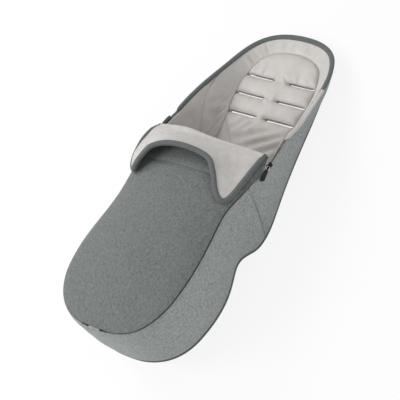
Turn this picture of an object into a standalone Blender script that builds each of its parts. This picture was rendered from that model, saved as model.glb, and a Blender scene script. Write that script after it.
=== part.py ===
"""A stroller footmuff that lies on its back: +X to the right side, +Y to the head end, +Z out of the cover.

The shell is a hull of ribs. Each rib runs from the top edge down the wall to the back edge and on to the
middle of the back, and every layer of the shell lies between the hull's outer and inner face.
"""

import math

import bmesh
import bpy
import numpy as np
from mathutils.bvhtree import BVHTree

# Overall sizes, in metres
HALF_LENGTH = 0.470
HALF_WIDTH = 0.180
HEIGHT = 0.250
GAP = 0.0004

# Layers
FABRIC = 0.0020
LINING = 0.0016
WALL = 0.0120
BACK = 0.0170
BACK_EDGE = 0.0070
COVER = 0.0100
WALL_BULGE = 0.0060
WADDING_DEPTH = 0.0036

# Rows: where the top edge and the back edge of each rib lie, as shares of the overall sizes
RIB_SHARES = (
    (0.000, -0.974, 0.992, 0.000, -0.979, 0.320),
    (0.333, -0.962, 0.990, 0.278, -0.972, 0.316),
    (0.600, -0.915, 0.982, 0.528, -0.938, 0.312),
    (0.783, -0.828, 0.976, 0.728, -0.877, 0.304),
    (0.889, -0.709, 0.954, 0.850, -0.777, 0.268),
    (0.917, -0.572, 0.916, 0.894, -0.638, 0.212),
    (0.894, -0.451, 0.872, 0.889, -0.511, 0.196),
    (0.861, -0.340, 0.836, 0.861, -0.415, 0.240),
    (0.842, -0.262, 0.820, 0.839, -0.340, 0.278),
    (0.836, -0.195, 0.814, 0.833, -0.272, 0.180),
    (0.874, -0.110, 0.774, 0.839, -0.213, 0.056),
    (0.911, -0.025, 0.734, 0.844, -0.134, 0.028),
    (0.949, 0.060, 0.693, 0.844, -0.066, 0.031),
    (0.987, 0.145, 0.653, 0.839, 0.021, 0.064),
    (0.964, 0.213, 0.616, 0.828, 0.119, 0.094),
    (0.929, 0.294, 0.578, 0.814, 0.251, 0.116),
    (0.908, 0.398, 0.522, 0.798, 0.387, 0.123),
    (0.886, 0.504, 0.444, 0.778, 0.498, 0.115),
    (0.864, 0.594, 0.363, 0.750, 0.587, 0.103),
    (0.850, 0.666, 0.292, 0.717, 0.664, 0.086),
    (0.806, 0.755, 0.228, 0.661, 0.745, 0.074),
    (0.728, 0.843, 0.175, 0.583, 0.826, 0.054),
    (0.583, 0.923, 0.124, 0.461, 0.891, 0.040),
    (0.333, 0.972, 0.100, 0.267, 0.932, 0.032),
    (0.000, 0.987, 0.090, 0.000, 0.946, 0.030),
)
# The side zip runs straight between these two ribs
ZIP_RUN_RIBS = (9, 13)
# The ribs of the rounded ends fan out from a pole at these shares of the half length
POLE_SHARES = (-0.638, 0.664)
# Height of the back and of the cover along the middle line: shares of half length and height
BACK_LINE_SHARES = (
    (-0.980, 0.264), (-0.851, 0.200), (-0.638, 0.160), (-0.447, 0.168), (-0.351, 0.224),
    (-0.300, 0.160), (-0.252, 0.048), (-0.213, 0.000), (-0.021, 0.000), (0.128, 0.040),
    (0.255, 0.064), (0.532, 0.064), (0.681, 0.024), (0.766, 0.000), (0.950, 0.000),
)
COVER_LINE_SHARES = (
    (-0.974, 0.992), (-0.851, 1.048), (-0.638, 1.048), (-0.426, 1.000), (-0.213, 0.940),
    (-0.085, 0.884), (0.000, 0.844), (0.085, 0.788), (0.167, 0.724),
)
BACK_FLAT_SHARE = 0.70

# Seams, as ribs, shares of the half length, or shares of the way from the back's edge to its middle
NOTCH_RIB = 8
DART_RIB = 11
ZIP_TOP_RIB = 15
ZIP_STOP_RIB = 0.6
YOKE_SHARE = -0.032
FOLD_SHARE = 0.167
SEAT_SEAM_RIB = 12
SIDE_SEAM_RIBS = (15, 16, 17, 18)
SIDE_SEAM_SHARES = (1.0, 0.65, 0.3, 0.0)
SEAM_GAP_SHARE = 0.004
ARCH_RIBS = (12, 13, 14, 15, 16, 17, 18, 19, 20, 21, 22, 23, 24)
ARCH_SHARES = (0.68, 0.67, 0.67, 0.695, 0.731, 0.80, 0.876, 0.923, 0.93, 0.925, 0.86, 0.83, 0.82)

# Set back of the layers from the zip line and from the rim
ZIP_FABRIC_SETBACK = 0.0033
ZIP_INNER_SETBACK = 0.0070
BINDING_HEIGHT = 0.0115
BINDING_STEP = 0.0012

# Piping
PIPING_RADIUS = 0.0025

# Harness slots: each row runs from the spine to the centre panel's seam. One more is for the crotch strap
SPINE_HALF_WIDTHS = (0.0150, 0.0200, 0.0235)
SLOT_ROOM = 0.0060
SLOT_OPENING = 0.0058
SLOT_FACING = 0.0009
SLOT_ROW_SHARES = (0.459, 0.574, 0.695)
CROTCH_SLOT_LENGTH = 0.060
CROTCH_SLOT_SHARE = -0.117
PAD_CROWN = 0.0080
PAD_ROOM = 0.0013
PAD_PINCH_SHARE = 0.75
PINCH_WIDTH = 0.0120
SLOT_OVERRUN = 0.050

# Cuff: its outline from the middle of the arch, round the ear, to the fold
CUFF_SETBACK = 0.0056
CUFF_DROP = 0.1485
CUFF_LIFT = 0.0045
FOLD_GAP = 0.0005
FOLD_RISE = 0.0200
ARCH_LIFT = 0.0050
CUFF_THICK = 0.0100
CUFF_BINDING = 0.0120
CUFF_OUTLINE_SHARES = (
    (0.000, 0.354), (0.132, 0.372), (0.265, 0.415), (0.429, 0.488), (0.571, 0.623), (0.663, 0.764),
    (0.749, 0.919), (0.840, 1.000), (0.907, 0.960), (0.945, 0.798), (0.965, 0.529), (0.983, 0.259),
    (1.000, 0.000),
)
CUFF_FOLD_SHARES = (0.0, 0.14, 0.28, 0.42, 0.54, 0.64, 0.73, 0.80, 0.86, 0.91, 0.96, 1.0)
COVER_NECK_IN = 0.0100
COVER_NECK_UP = 0.0060
NECK_SHARE = 0.096

# Zip and sliders
COIL_NEAR = 0.0016
COIL_FAR = 0.0028
COIL_TOP = 0.0010
TAPE_TOP = 0.0026
TAPE_THICK = 0.0006
TAPE_WIDTH = 0.0120
COVER_ZIP_END_SHARE = 0.092
SLIDER_SHARE = 0.1265
SLIDER_LENGTH = 0.0160
SLIDER_WIDTH = 0.0105
SLIDER_PLATE = 0.0013
SLIDER_RISE = 0.0006
SLIDER_POST = 0.0012
SLIDER_POST_LENGTH = 0.0050
SLIDER_HEEL_DEPTH = 0.0064
SLIDER_HEEL_WIDTH = 0.0036
SLIDER_HEEL = 0.0010
SLIDER_STEP = 0.0003
BAIL_SHIFT = 0.0034
BAIL_HALF_LENGTH = 0.0025
BAIL_BAR = 0.0012
BAIL_WIDTH = 0.0024
BAIL_HOLE = 0.0030
LINK_WIRE = 0.00055
LINK_HALF_WIDTH = 0.0034
LINK_LENGTH = 0.0080
TAB_LENGTH = 0.0330
TAB_EYE = 0.0017
TAB_EYE_HOLE = 0.0009
TAB_EYE_WIDTH = 0.0046
TAB_ROOT_WIDTH = 0.0076
TAB_END_WIDTH = 0.0116
TAB_THICK = 0.0030
TAB_SWING = math.radians(17)
TAB_DROP = math.radians(7.5)
STOP_SIZE = (0.0040, 0.0015, 0.0036)
BRIDGE_HALF_WIDTH = 0.0021

MIRROR_MERGE = 0.0001
SAME_POINT = 0.000001
ON_PLANE = 0.0000001
HALF_STEP_ENDS = (4, 20)
LAST_RIB = len(RIB_SHARES) - 1
WALL_COLUMNS = (0.0, 0.3, 0.65, 1.0)
BACK_COLUMNS = (1.0, 1.07, 1.3, 1.65, 2.0)
COVER_COLUMNS = (1.0, 0.93, 0.8, 0.6, 0.35, 0.0)
PAD_COLUMNS = (0.0, 0.12, 0.3, 0.5, 0.75, 1.0)
CUFF_COLUMNS = (0.0, 0.34, 0.67, 1.0)
FACING_SHARES = (0.0, 0.35, 0.7, 1.0)

COLOURS = {
    "outer_felt": ((0.235, 0.262, 0.258), 0.95),
    "cover_felt": ((0.190, 0.213, 0.208), 0.95),
    "trim_grey": ((0.150, 0.172, 0.168), 0.9),
    "lining": ((0.560, 0.535, 0.505), 0.6),
    "fleece": ((0.610, 0.590, 0.565), 0.95),
    "wadding": ((0.800, 0.800, 0.790), 1.0),
    "zip_black": ((0.012, 0.013, 0.013), 0.5),
    "pull_black": ((0.010, 0.011, 0.011), 0.45),
    "link_metal": ((0.620, 0.620, 0.610), 0.3),
}
METALS = ("link_metal",)


def clear_scene():
    for obj in list(bpy.data.objects):
        bpy.data.objects.remove(obj, do_unlink=True)


def collection(name):
    made = bpy.data.collections.new(name)
    bpy.context.scene.collection.children.link(made)
    return made


clear_scene()
PARTS = collection("stroller_footmuff")
CUTTERS = collection("cutters")
CUTTERS.hide_render = True


def material(slot):
    found = bpy.data.materials.get(slot)
    if found:
        return found
    colour, roughness = COLOURS[slot]
    made = bpy.data.materials.new(slot)
    made.use_nodes = True
    shader = made.node_tree.nodes["Principled BSDF"]
    shader.inputs["Base Color"].default_value = (*colour, 1.0)
    shader.inputs["Roughness"].default_value = roughness
    shader.inputs["Metallic"].default_value = float(slot in METALS)
    return made


def smooth(knots, at):
    """A smooth curve through the knots, at a fractional index. Past each end it is its mirror image in X."""
    flip = np.array((-1.0, 1.0, 1.0))
    knots = np.asarray(knots, float)
    line = np.vstack((knots[1] * flip, knots, knots[-2] * flip))
    i = min(int(at), len(knots) - 2)
    t = at - i
    a, b, c, d = line[i : i + 4]
    return b + 0.5 * t * (c - a + t * (2 * a - 5 * b + 4 * c - d + t * (3 * (b - c) + d - a)))


def level(knots, at):
    """A height line through (place, height) knots that never overshoots them."""
    x, y = np.array(knots, float).T
    slopes = np.diff(y) / np.diff(x)
    tangents = np.zeros(len(x))
    for i in range(1, len(x) - 1):
        if slopes[i - 1] * slopes[i] > 0:
            tangents[i] = 2 * slopes[i - 1] * slopes[i] / (slopes[i - 1] + slopes[i])
    at = min(max(at, x[0]), x[-1])
    i = min(max(int(np.searchsorted(x, at, side="right")) - 1, 0), len(x) - 2)
    width = x[i + 1] - x[i]
    t = (at - x[i]) / width
    rise = y[i + 1] - y[i]
    return (
        y[i]
        + t * width * tangents[i]
        + t * t * (3 * rise - width * (2 * tangents[i] + tangents[i + 1]))
        + t**3 * (width * (tangents[i] + tangents[i + 1]) - 2 * rise)
    )


def ease(t):
    t = min(max(t, 0.0), 1.0)
    return t * t * (3 - 2 * t)


def unit(v):
    return v / np.linalg.norm(v)


def vec(x, y, z):
    return np.array((x, y, z), float)


UP = vec(0, 0, 1)
SIZES = np.array((HALF_WIDTH, HALF_LENGTH, HEIGHT))
TOP_KNOTS = np.array(RIB_SHARES)[:, :3] * SIZES
BACK_KNOTS = np.array(RIB_SHARES)[:, 3:] * SIZES
RUN_FIRST, RUN_LAST = ZIP_RUN_RIBS
TOP_KNOTS[RUN_FIRST : RUN_LAST + 1] = np.linspace(
    TOP_KNOTS[RUN_FIRST], TOP_KNOTS[RUN_LAST], RUN_LAST - RUN_FIRST + 1
)
HALF_STEPS = np.arange(0, LAST_RIB + 0.5, 0.5)
STATIONS = [s for s in HALF_STEPS if s % 1 == 0 or s < HALF_STEP_ENDS[0] or s > HALF_STEP_ENDS[1]]


def top_edge(s):
    if RUN_FIRST <= s <= RUN_LAST:
        share = (s - RUN_FIRST) / (RUN_LAST - RUN_FIRST)
        return TOP_KNOTS[RUN_FIRST] * (1 - share) + TOP_KNOTS[RUN_LAST] * share
    return smooth(TOP_KNOTS, s)


def back_edge(s):
    return smooth(BACK_KNOTS, s)


def inward(s):
    """Level direction into the muff, square to the top edge."""
    step = 0.01
    ahead = top_edge(min(s + step, LAST_RIB))
    behind = top_edge(max(s - step, 0))
    run = unit((ahead - behind) * vec(1, 1, 0))
    if s in (0, LAST_RIB):
        run = vec(1, 0, 0) if s == 0 else vec(-1, 0, 0)
    return vec(-run[1], run[0], 0)


def back_height(y):
    return HEIGHT * level(BACK_LINE_SHARES, y / HALF_LENGTH)


def cover_line(y):
    return HEIGHT * level(COVER_LINE_SHARES, y / HALF_LENGTH)


def middle(y):
    """Where the rib that reaches the back's edge at y meets the middle line."""
    low, high = (share * HALF_LENGTH for share in POLE_SHARES)
    return min(max(y, low), high)


def mitre(s):
    """1 where the shell's edge meets the cover at a mitre, 0 along the open rim."""
    return 1 - ease((s - RUN_LAST) / (ZIP_TOP_RIB - RUN_LAST))


def back_point(edge, share, thick_edge, thick_middle, raised):
    """A point of the back: share 1 at the edge, 0 at the middle line."""
    pole = vec(0, middle(edge[1]), 0)
    place = pole + (edge - pole) * vec(share, share, 0)
    curl = ease((share - BACK_FLAT_SHARE) / (1 - BACK_FLAT_SHARE))
    thick = thick_middle + (thick_edge - thick_middle) * curl
    return vec(place[0], place[1], back_height(place[1]) + thick + raised * curl)


def wall_ends(s):
    """The ends of the rib's wall: outer top and foot, inner top and foot."""
    top, foot, into = top_edge(s), back_edge(s), inward(s)
    raised = foot[2] - back_height(foot[1])
    inner_top = top + (into - UP * mitre(s)) * WALL
    inner_foot = back_point(foot + into * WALL, 1.0, BACK_EDGE, BACK, raised)
    return top, foot, inner_top, inner_foot


def hull_faces(s):
    """The outer and the inner line of one rib, from the top edge to the middle of the back."""
    top, foot, inner_top, inner_foot = wall_ends(s)
    into = inward(s)
    raised = foot[2] - back_height(foot[1])
    outer, inner = [], []
    for w in WALL_COLUMNS:
        belly = -into * WALL_BULGE * 4 * w * (1 - w)
        outer.append(top + (foot - top) * w + belly)
        inner.append(inner_top + (inner_foot - inner_top) * w + belly)
    for w in BACK_COLUMNS[1:]:
        outer.append(back_point(foot, 2 - w, 0, 0, raised))
        inner.append(back_point(inner_foot, 2 - w, BACK_EDGE, BACK, raised))
    return outer, inner


def cover_edge(s):
    """The cover's edge follows the top edge, and draws in beside the slider up to the fold."""
    top = top_edge(s)
    draw_in = ease((top[1] / HALF_LENGTH - NECK_SHARE) / (FOLD_SHARE - NECK_SHARE))
    return top + (inward(s) * COVER_NECK_IN + UP * COVER_NECK_UP) * draw_in


def cover_pole(edge):
    return vec(0, max(edge[1], POLE_SHARES[0] * HALF_LENGTH), 0)


def cover_faces(s):
    edge, into = cover_edge(s), inward(s)
    pole = cover_pole(edge)
    outer, inner = [], []
    for share in COVER_COLUMNS:
        place = pole + (edge - pole) * share
        place[2] = cover_line(place[1]) * (1 - share**2) + edge[2] * share**2
        outer.append(place)
        inner.append(place + (into * share**4 - UP) * COVER)
    return outer, inner


def station_at(y, line=top_edge):
    """The rib at which the line passes y."""
    low, high = 0.0, float(LAST_RIB)
    for _ in range(40):
        s = (low + high) / 2
        low, high = (s, high) if line(s)[1] < y else (low, s)
    return low


FOLD_Y = FOLD_SHARE * HALF_LENGTH
YOKE_Y = YOKE_SHARE * HALF_LENGTH
FOLD_RIB = station_at(FOLD_Y)
YOKE_RIB = station_at(YOKE_Y)
NECK_RIB = station_at(NECK_SHARE * HALF_LENGTH)
COVER_STATIONS = sorted({*(s for s in STATIONS if s < FOLD_RIB), YOKE_RIB, NECK_RIB, FOLD_RIB})


class Faces:
    """A pair of faces on a grid of stations and columns, read between its points."""

    def __init__(self, stations, columns, faces):
        self.stations = np.array(stations, float)
        self.columns = np.array(columns, float)
        self.outer, self.inner = np.array([faces(s) for s in stations]).transpose(1, 0, 2, 3)

    def read(self, grid, s, w):
        def cell(marks, at):
            i = min(max(int(np.searchsorted(marks, at, side="right")) - 1, 0), len(marks) - 2)
            return i, (at - marks[i]) / (marks[i + 1] - marks[i])

        i, t = cell(self.stations, s)
        j, u = cell(self.columns, w)
        low = grid[i, j] * (1 - u) + grid[i, j + 1] * u
        high = grid[i + 1, j] * (1 - u) + grid[i + 1, j + 1] * u
        return low * (1 - t) + high * t

    def at(self, s, w, depth):
        """A point this deep under the outer face, towards the inner face."""
        outer, inner = self.read(self.outer, s, w), self.read(self.inner, s, w)
        return outer + unit(inner - outer) * depth

    def inside(self, s, w, height):
        """A point this high over the inner face, towards the outer face."""
        outer, inner = self.read(self.outer, s, w), self.read(self.inner, s, w)
        return inner + unit(outer - inner) * height

    def marks(self, first, last):
        """The stations from first to last, both ends included."""
        return [first, *(s for s in self.stations if first + 0.01 < s < last - 0.01), last]


HULL = Faces(STATIONS, WALL_COLUMNS + BACK_COLUMNS[1:], hull_faces)
LID = Faces(COVER_STATIONS, [1 - c for c in COVER_COLUMNS], cover_faces)


def wall_length(s, side):
    """Length of the rib's wall on the outer side, 0, or on the inner side, 1."""
    ends = wall_ends(s)
    return np.linalg.norm(ends[2 * side + 1] - ends[2 * side])


def from_edge(s, distance, side=0):
    """The column at this distance below the top edge."""
    return distance / wall_length(s, side)


def back_column(s, distance):
    """The column at this distance from the back edge, towards the middle of the back."""
    edge = back_edge(s)
    return 1 + distance / np.linalg.norm((edge - vec(0, middle(edge[1]), 0)) * vec(1, 1, 0))


def lid_column(s, distance):
    edge = cover_edge(s)
    return distance / np.linalg.norm((edge - cover_pole(edge)) * vec(1, 1, 0))


def node(name, slot, mesh, mirror=False, home=PARTS):
    obj = bpy.data.objects.new(name, mesh)
    home.objects.link(obj)
    if slot:
        mesh.materials.append(material(slot))
    if mirror:
        modifier = obj.modifiers.new("Mirror", "MIRROR")
        modifier.merge_threshold = MIRROR_MERGE
    return obj


def tidy_mesh(name, points, faces):
    """A mesh from points and faces: doubles merged, split in triangles, and turned to face out."""
    mesh = bpy.data.meshes.new(name)
    shape = bmesh.new()
    verts = [shape.verts.new(p) for p in points]
    for face in faces:
        if len(set(face)) > 2:
            shape.faces.new([verts[i] for i in face])
    bmesh.ops.remove_doubles(shape, verts=shape.verts, dist=SAME_POINT)
    bmesh.ops.triangulate(shape, faces=shape.faces, quad_method="FIXED")
    bmesh.ops.dissolve_degenerate(shape, dist=SAME_POINT, edges=shape.edges)
    if shape.calc_volume(signed=True) < 0:
        bmesh.ops.reverse_faces(shape, faces=shape.faces)
    shape.to_mesh(mesh)
    shape.free()
    mesh.shade_smooth()
    mesh.set_sharp_from_angle(angle=math.radians(40))
    return mesh


def on_plane(points):
    return all(abs(p[0]) < ON_PLANE for p in points)


def slab(name, slot, side_a, side_b, mirror=False):
    """The solid between two grids of points. With mirror, edges that lie at X = 0 stay open."""
    rows, columns = len(side_a), len(side_a[0])
    points = [p for grid in (side_a, side_b) for row in grid for p in row]

    def a(i, j):
        return i * columns + j

    def b(i, j):
        return rows * columns + i * columns + j

    faces = []
    for i in range(rows - 1):
        for j in range(columns - 1):
            faces.append((a(i + 1, j), a(i + 1, j + 1), a(i, j + 1), a(i, j)))
            faces.append((b(i, j + 1), b(i + 1, j + 1), b(i + 1, j), b(i, j)))
    for i in (0, rows - 1):
        if mirror and on_plane(list(side_a[i]) + list(side_b[i])):
            continue
        for j in range(columns - 1):
            rim = (a(i, j), a(i, j + 1), b(i, j + 1), b(i, j))
            faces.append(rim if i == 0 else rim[::-1])
    for j in (0, columns - 1):
        if mirror and on_plane([row[j] for row in side_a] + [row[j] for row in side_b]):
            continue
        for i in range(rows - 1):
            rim = (a(i, j), b(i, j), b(i + 1, j), a(i + 1, j))
            faces.append(rim if j == 0 else rim[::-1])
    return node(name, slot, tidy_mesh(name, points, faces), mirror)


def sweep(name, slot, rings, mirror=False, home=PARTS):
    """The solid through a row of rings, closed by a cap at each end that isn't at X = 0."""
    count = len(rings[0])
    points = [p for ring in rings for p in ring]
    faces = []
    for i in range(len(rings) - 1):
        for j in range(count):
            k = (j + 1) % count
            faces.append((i * count + j, i * count + k, (i + 1) * count + k, (i + 1) * count + j))
    last = (len(rings) - 1) * count
    if not (mirror and on_plane(rings[0])):
        faces.append(tuple(range(count))[::-1])
    if not (mirror and on_plane(rings[-1])):
        faces.append(tuple(range(last, last + count)))
    return node(name, slot, tidy_mesh(name, points, faces), mirror, home)


def both_sides(name, slot, make):
    """A right piece, and its mirror image on the left."""
    right = make(f"{name}_right", slot)
    points = np.array([v.co for v in right.data.vertices]) * vec(-1, 1, 1)
    faces = [tuple(p.vertices)[::-1] for p in right.data.polygons]
    left_mesh = bpy.data.meshes.new(f"{name}_left")
    left_mesh.from_pydata([tuple(p) for p in points], [], faces)
    left_mesh.shade_smooth()
    left_mesh.set_sharp_from_angle(angle=math.radians(40))
    return right, node(f"{name}_left", slot, left_mesh)


def layer(name, slot, stations, near_columns, near, far, far_columns=None, mirror=False):
    """A layer of a pair of faces. The columns of a rib are listed by near_columns and far_columns, and near
    and far read a point at (s, w)."""
    grids = []
    for columns, read in ((near_columns, near), (far_columns or near_columns, far)):
        grids.append([[read(s, w) for w in columns(s)] for s in stations])
    return slab(name, slot, *grids, mirror)


def out(faces, depth):
    return lambda s, w: faces.at(s, w, depth)


def within(faces, height):
    return lambda s, w: faces.inside(s, w, height)


WALL_MARKS = WALL_COLUMNS[1:-1]
BACK_MARKS = BACK_COLUMNS[1:-1]
PIPING_CLEAR = PIPING_RADIUS + GAP
OUTER, INNER = 0, 1


def first_column(s, side, zip_setback):
    """Where a layer of the wall starts: clear of the zip line, or of the rim's binding."""
    on_rim = min(max(s - ZIP_TOP_RIB + 1, 0), 1)
    setback = zip_setback + (BINDING_HEIGHT + 2 * GAP - zip_setback) * on_rim
    return from_edge(s, setback, side)


def wall_columns(side, zip_setback):
    """Lists the columns of a wall layer. Their number is the same at every rib: only the ends move."""
    clear = (PIPING_CLEAR, GAP)[side]

    def columns(s):
        first = first_column(s, side, zip_setback)
        return [first, *(max(first, m) for m in WALL_MARKS), 1 - clear / wall_length(s, side)]

    return columns


def back_columns(side):
    clear = (PIPING_CLEAR, GAP)[side]
    return lambda s: [back_column(s, clear), *BACK_MARKS, 2.0]


SKIN_WALL = wall_columns(OUTER, ZIP_FABRIC_SETBACK)
CORE_WALL = wall_columns(OUTER, ZIP_INNER_SETBACK)
LINING_WALL = wall_columns(INNER, ZIP_INNER_SETBACK)
SKIN_BACK = back_columns(OUTER)
LINING_BACK = back_columns(INNER)


def rib_gap(s):
    """Half a gap between neighbours, in ribs."""
    step = 0.05
    low, high = max(s - step, 0), min(s + step, LAST_RIB)
    return GAP * (high - low) / np.linalg.norm(top_edge(high) - top_edge(low))


# Outer shell
DART_GAP = rib_gap(DART_RIB)
NOTCH_GAP = rib_gap(NOTCH_RIB)
END_GAP = rib_gap(LAST_RIB)
GUSSET_RIBS = HULL.marks(0, DART_RIB - DART_GAP)
SIDE_RIBS = HULL.marks(DART_RIB + DART_GAP, LAST_RIB - END_GAP)
LEG_RIBS = HULL.marks(0, NOTCH_RIB - NOTCH_GAP)
REST_RIBS = HULL.marks(NOTCH_RIB + NOTCH_GAP, LAST_RIB)


def make_outer_shell():
    skin = (out(HULL, 0), out(HULL, FABRIC))
    layer("leg_gusset", "outer_felt", GUSSET_RIBS, SKIN_WALL, *skin, mirror=True)
    both_sides("side_panel", "outer_felt", lambda name, slot: layer(
        name, slot, SIDE_RIBS, SKIN_WALL, *skin))
    layer("leg_back_panel", "outer_felt", LEG_RIBS, SKIN_BACK, *skin, mirror=True)
    layer("backrest_back_panel", "outer_felt", REST_RIBS, SKIN_BACK, *skin, mirror=True)


def make_piping():
    """Corded piping between the walls and the back, all the way round."""
    half = [back_edge(s) for s in STATIONS]
    loop = half + [p * vec(-1, 1, 1) for p in half[-2:0:-1]]
    tube_loop("back_edge_piping", "trim_grey", loop, PIPING_RADIUS)


def tube_loop(name, slot, points, radius, resolution=1):
    curve = bpy.data.curves.new(name, "CURVE")
    curve.dimensions = "3D"
    spline = curve.splines.new("POLY")
    spline.points.add(len(points) - 1)
    for point, place in zip(spline.points, points):
        point.co = (*place, 1.0)
    spline.use_cyclic_u = True
    curve.bevel_depth = radius
    curve.bevel_resolution = resolution
    curve.materials.append(material(slot))
    obj = bpy.data.objects.new(name, curve)
    PARTS.objects.link(obj)
    return obj


def make_wadding():
    wall = (out(HULL, WADDING_DEPTH), within(HULL, LINING + GAP), LINING_WALL)
    layer("gusset_wadding", "wadding", GUSSET_RIBS, CORE_WALL, *wall, mirror=True)
    both_sides("side_wadding", "wadding", lambda name, slot: layer(
        name, slot, SIDE_RIBS, CORE_WALL, *wall))
    back = (out(HULL, FABRIC + GAP), within(HULL, LINING + GAP), LINING_BACK)
    layer("leg_back_wadding", "wadding", LEG_RIBS, SKIN_BACK, *back, mirror=True)
    rest = (out(HULL, FABRIC + GAP), within(HULL, LINING + PAD_ROOM), LINING_BACK)
    layer("backrest_wadding", "wadding", REST_RIBS, SKIN_BACK, *rest, mirror=True)


def side_seam(s):
    """How far down the wall the side lining reaches."""
    return float(np.interp(s, SIDE_SEAM_RIBS, SIDE_SEAM_SHARES))


def arch_seam(s):
    return 2 - float(np.interp(s, ARCH_RIBS, ARCH_SHARES))


SEAT_GAP = rib_gap(SEAT_SEAM_RIB)


def side_lining_columns(s):
    first = first_column(s, INNER, ZIP_INNER_SETBACK)
    last = max(side_seam(s) - SEAM_GAP_SHARE, first)
    return [first, *(min(max(first, m), last) for m in WALL_MARKS), last]


def surround_columns(s):
    first = max(first_column(s, INNER, ZIP_INNER_SETBACK), side_seam(s) + SEAM_GAP_SHARE)
    last = arch_seam(s) - GAP / HALF_WIDTH
    walls = [max(first, m) for m in WALL_MARKS]
    return [first, *walls, max(first, 1.0), *(min(m, last) for m in BACK_MARKS[:2]), last]


def pad_columns(s):
    first = arch_seam(s) + GAP / HALF_WIDTH
    return [first + (2 - first) * share for share in PAD_COLUMNS]


def slot_rows():
    return [share * HALF_LENGTH for share in SLOT_ROW_SHARES]


def pad_face(s, w):
    """The centre panel swells, and draws in along each row of slots."""
    place = HULL.inside(s, w, 0)
    across = (2 - w) / (2 - arch_seam(s))
    swell = PAD_CROWN * (1 - across**4) * ease((s - SEAT_SEAM_RIB) / 2)
    pinch = 0
    for row, spine in zip(slot_rows(), SPINE_HALF_WIDTHS):
        near_row = math.exp(-(((place[1] - row) / PINCH_WIDTH) ** 2))
        pinch += near_row * ease((abs(place[0]) - spine + PINCH_WIDTH) / (2 * PINCH_WIDTH))
    return place + UP * swell * (1 - PAD_PINCH_SHARE * min(pinch, 1.0))


def middle_point(s):
    return vec(0, middle(back_edge(s)[1]), 0)


def slot_spans():
    """Inner and outer end of each row's right slot. The outer one stops short of the centre panel's seam."""
    spans = []
    for row, spine in zip(slot_rows(), SPINE_HALF_WIDTHS):
        s = station_at(row, lambda rib: HULL.inside(rib, arch_seam(rib), 0))
        spans.append((spine, HULL.inside(s, arch_seam(s), 0)[0] - SLOT_ROOM))
    return spans


def pad_stations():
    """The ribs, with the rows of slots and the crests between them added."""
    rows = slot_rows()
    quarter = (rows[1] - rows[0]) / 4
    places = [row + quarter * step for row in rows for step in (-1, 0, 1, 2)] + [rows[0] - quarter * 2]
    added = [station_at(y, middle_point) for y in places if y < POLE_SHARES[1] * HALF_LENGTH]
    marks = HULL.marks(SEAT_SEAM_RIB + SEAT_GAP, LAST_RIB)
    return sorted({*marks, *added})


def make_linings():
    faces = (within(HULL, 0), within(HULL, LINING))
    foot = HULL.marks(0, DART_RIB - DART_GAP)
    seat = HULL.marks(0, SEAT_SEAM_RIB - SEAT_GAP)
    sides = HULL.marks(DART_RIB + DART_GAP, SIDE_SEAM_RIBS[-1])
    ring = HULL.marks(SEAT_SEAM_RIB + SEAT_GAP, LAST_RIB)
    layer("foot_bag_wall_lining", "fleece", foot, LINING_WALL, *faces, mirror=True)
    layer("foot_bag_back_lining", "fleece", seat, LINING_BACK, *faces, mirror=True)
    both_sides("side_lining", "lining", lambda name, slot: layer(
        name, slot, sides, side_lining_columns, *faces))
    layer("lining_surround", "lining", ring, surround_columns, *faces, mirror=True)
    layer("backrest_centre_panel", "lining", pad_stations(), pad_columns, pad_face, faces[1], mirror=True)


def make_rim_binding():
    """The folded binding sits over the rim from one zip end round the head to the other."""
    rings = []
    for s in HULL.marks(ZIP_TOP_RIB, LAST_RIB):
        out_step = -inward(s) * BINDING_STEP
        crest = BINDING_STEP * 2

        def outer(distance):
            return HULL.at(s, from_edge(s, distance, OUTER), 0) + out_step

        def inner(distance):
            return HULL.inside(s, from_edge(s, distance, INNER), 0) - out_step

        rings.append((
            outer(BINDING_HEIGHT),
            outer(crest),
            HULL.at(s, 0, crest) + UP * BINDING_STEP,
            HULL.inside(s, 0, crest) + UP * BINDING_STEP,
            inner(crest),
            inner(BINDING_HEIGHT),
        ))
    sweep("rim_binding", "trim_grey", rings, mirror=True)


# Cover
COVER_GAP = rib_gap(YOKE_RIB)
COVER_SKIN_RIBS = LID.marks(0, YOKE_RIB - COVER_GAP)
YOKE_RIBS = LID.marks(YOKE_RIB + COVER_GAP, FOLD_RIB)
COVER_RIBS = LID.marks(0, FOLD_RIB)
LID_MARKS = [1 - c for c in COVER_COLUMNS[1:-1]]


def lid_columns(setback):
    return lambda s: [lid_column(s, setback), *LID_MARKS, 1.0]


def make_cover():
    skin_columns, core_columns = lid_columns(ZIP_FABRIC_SETBACK), lid_columns(ZIP_INNER_SETBACK)
    skin = (out(LID, 0), out(LID, FABRIC))
    core = (out(LID, WADDING_DEPTH), within(LID, LINING + GAP))
    layer("cover_front_panel", "cover_felt", COVER_SKIN_RIBS, skin_columns, *skin, mirror=True)
    layer("cover_yoke", "cover_felt", YOKE_RIBS, skin_columns, *skin, mirror=True)
    layer("cover_wadding", "wadding", COVER_RIBS, core_columns, *core, mirror=True)
    inside = (within(LID, LINING), within(LID, 0))
    layer("cover_lining", "fleece", COVER_RIBS, core_columns, *inside, mirror=True)


def cover_height(x, y):
    """Height of the cover's outer face near the fold, where its ribs run straight across."""
    edge = cover_edge(station_at(y))
    share = min(abs(x) / edge[0], 1.0)
    return cover_line(y) * (1 - share**2) + edge[2] * share**2


CUFF_HALF_WIDTH = cover_edge(FOLD_RIB)[0] - CUFF_SETBACK


def cuff_outline():
    return [
        vec(x * CUFF_HALF_WIDTH, FOLD_Y - y * CUFF_DROP, 0) for x, y in CUFF_OUTLINE_SHARES
    ]


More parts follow.
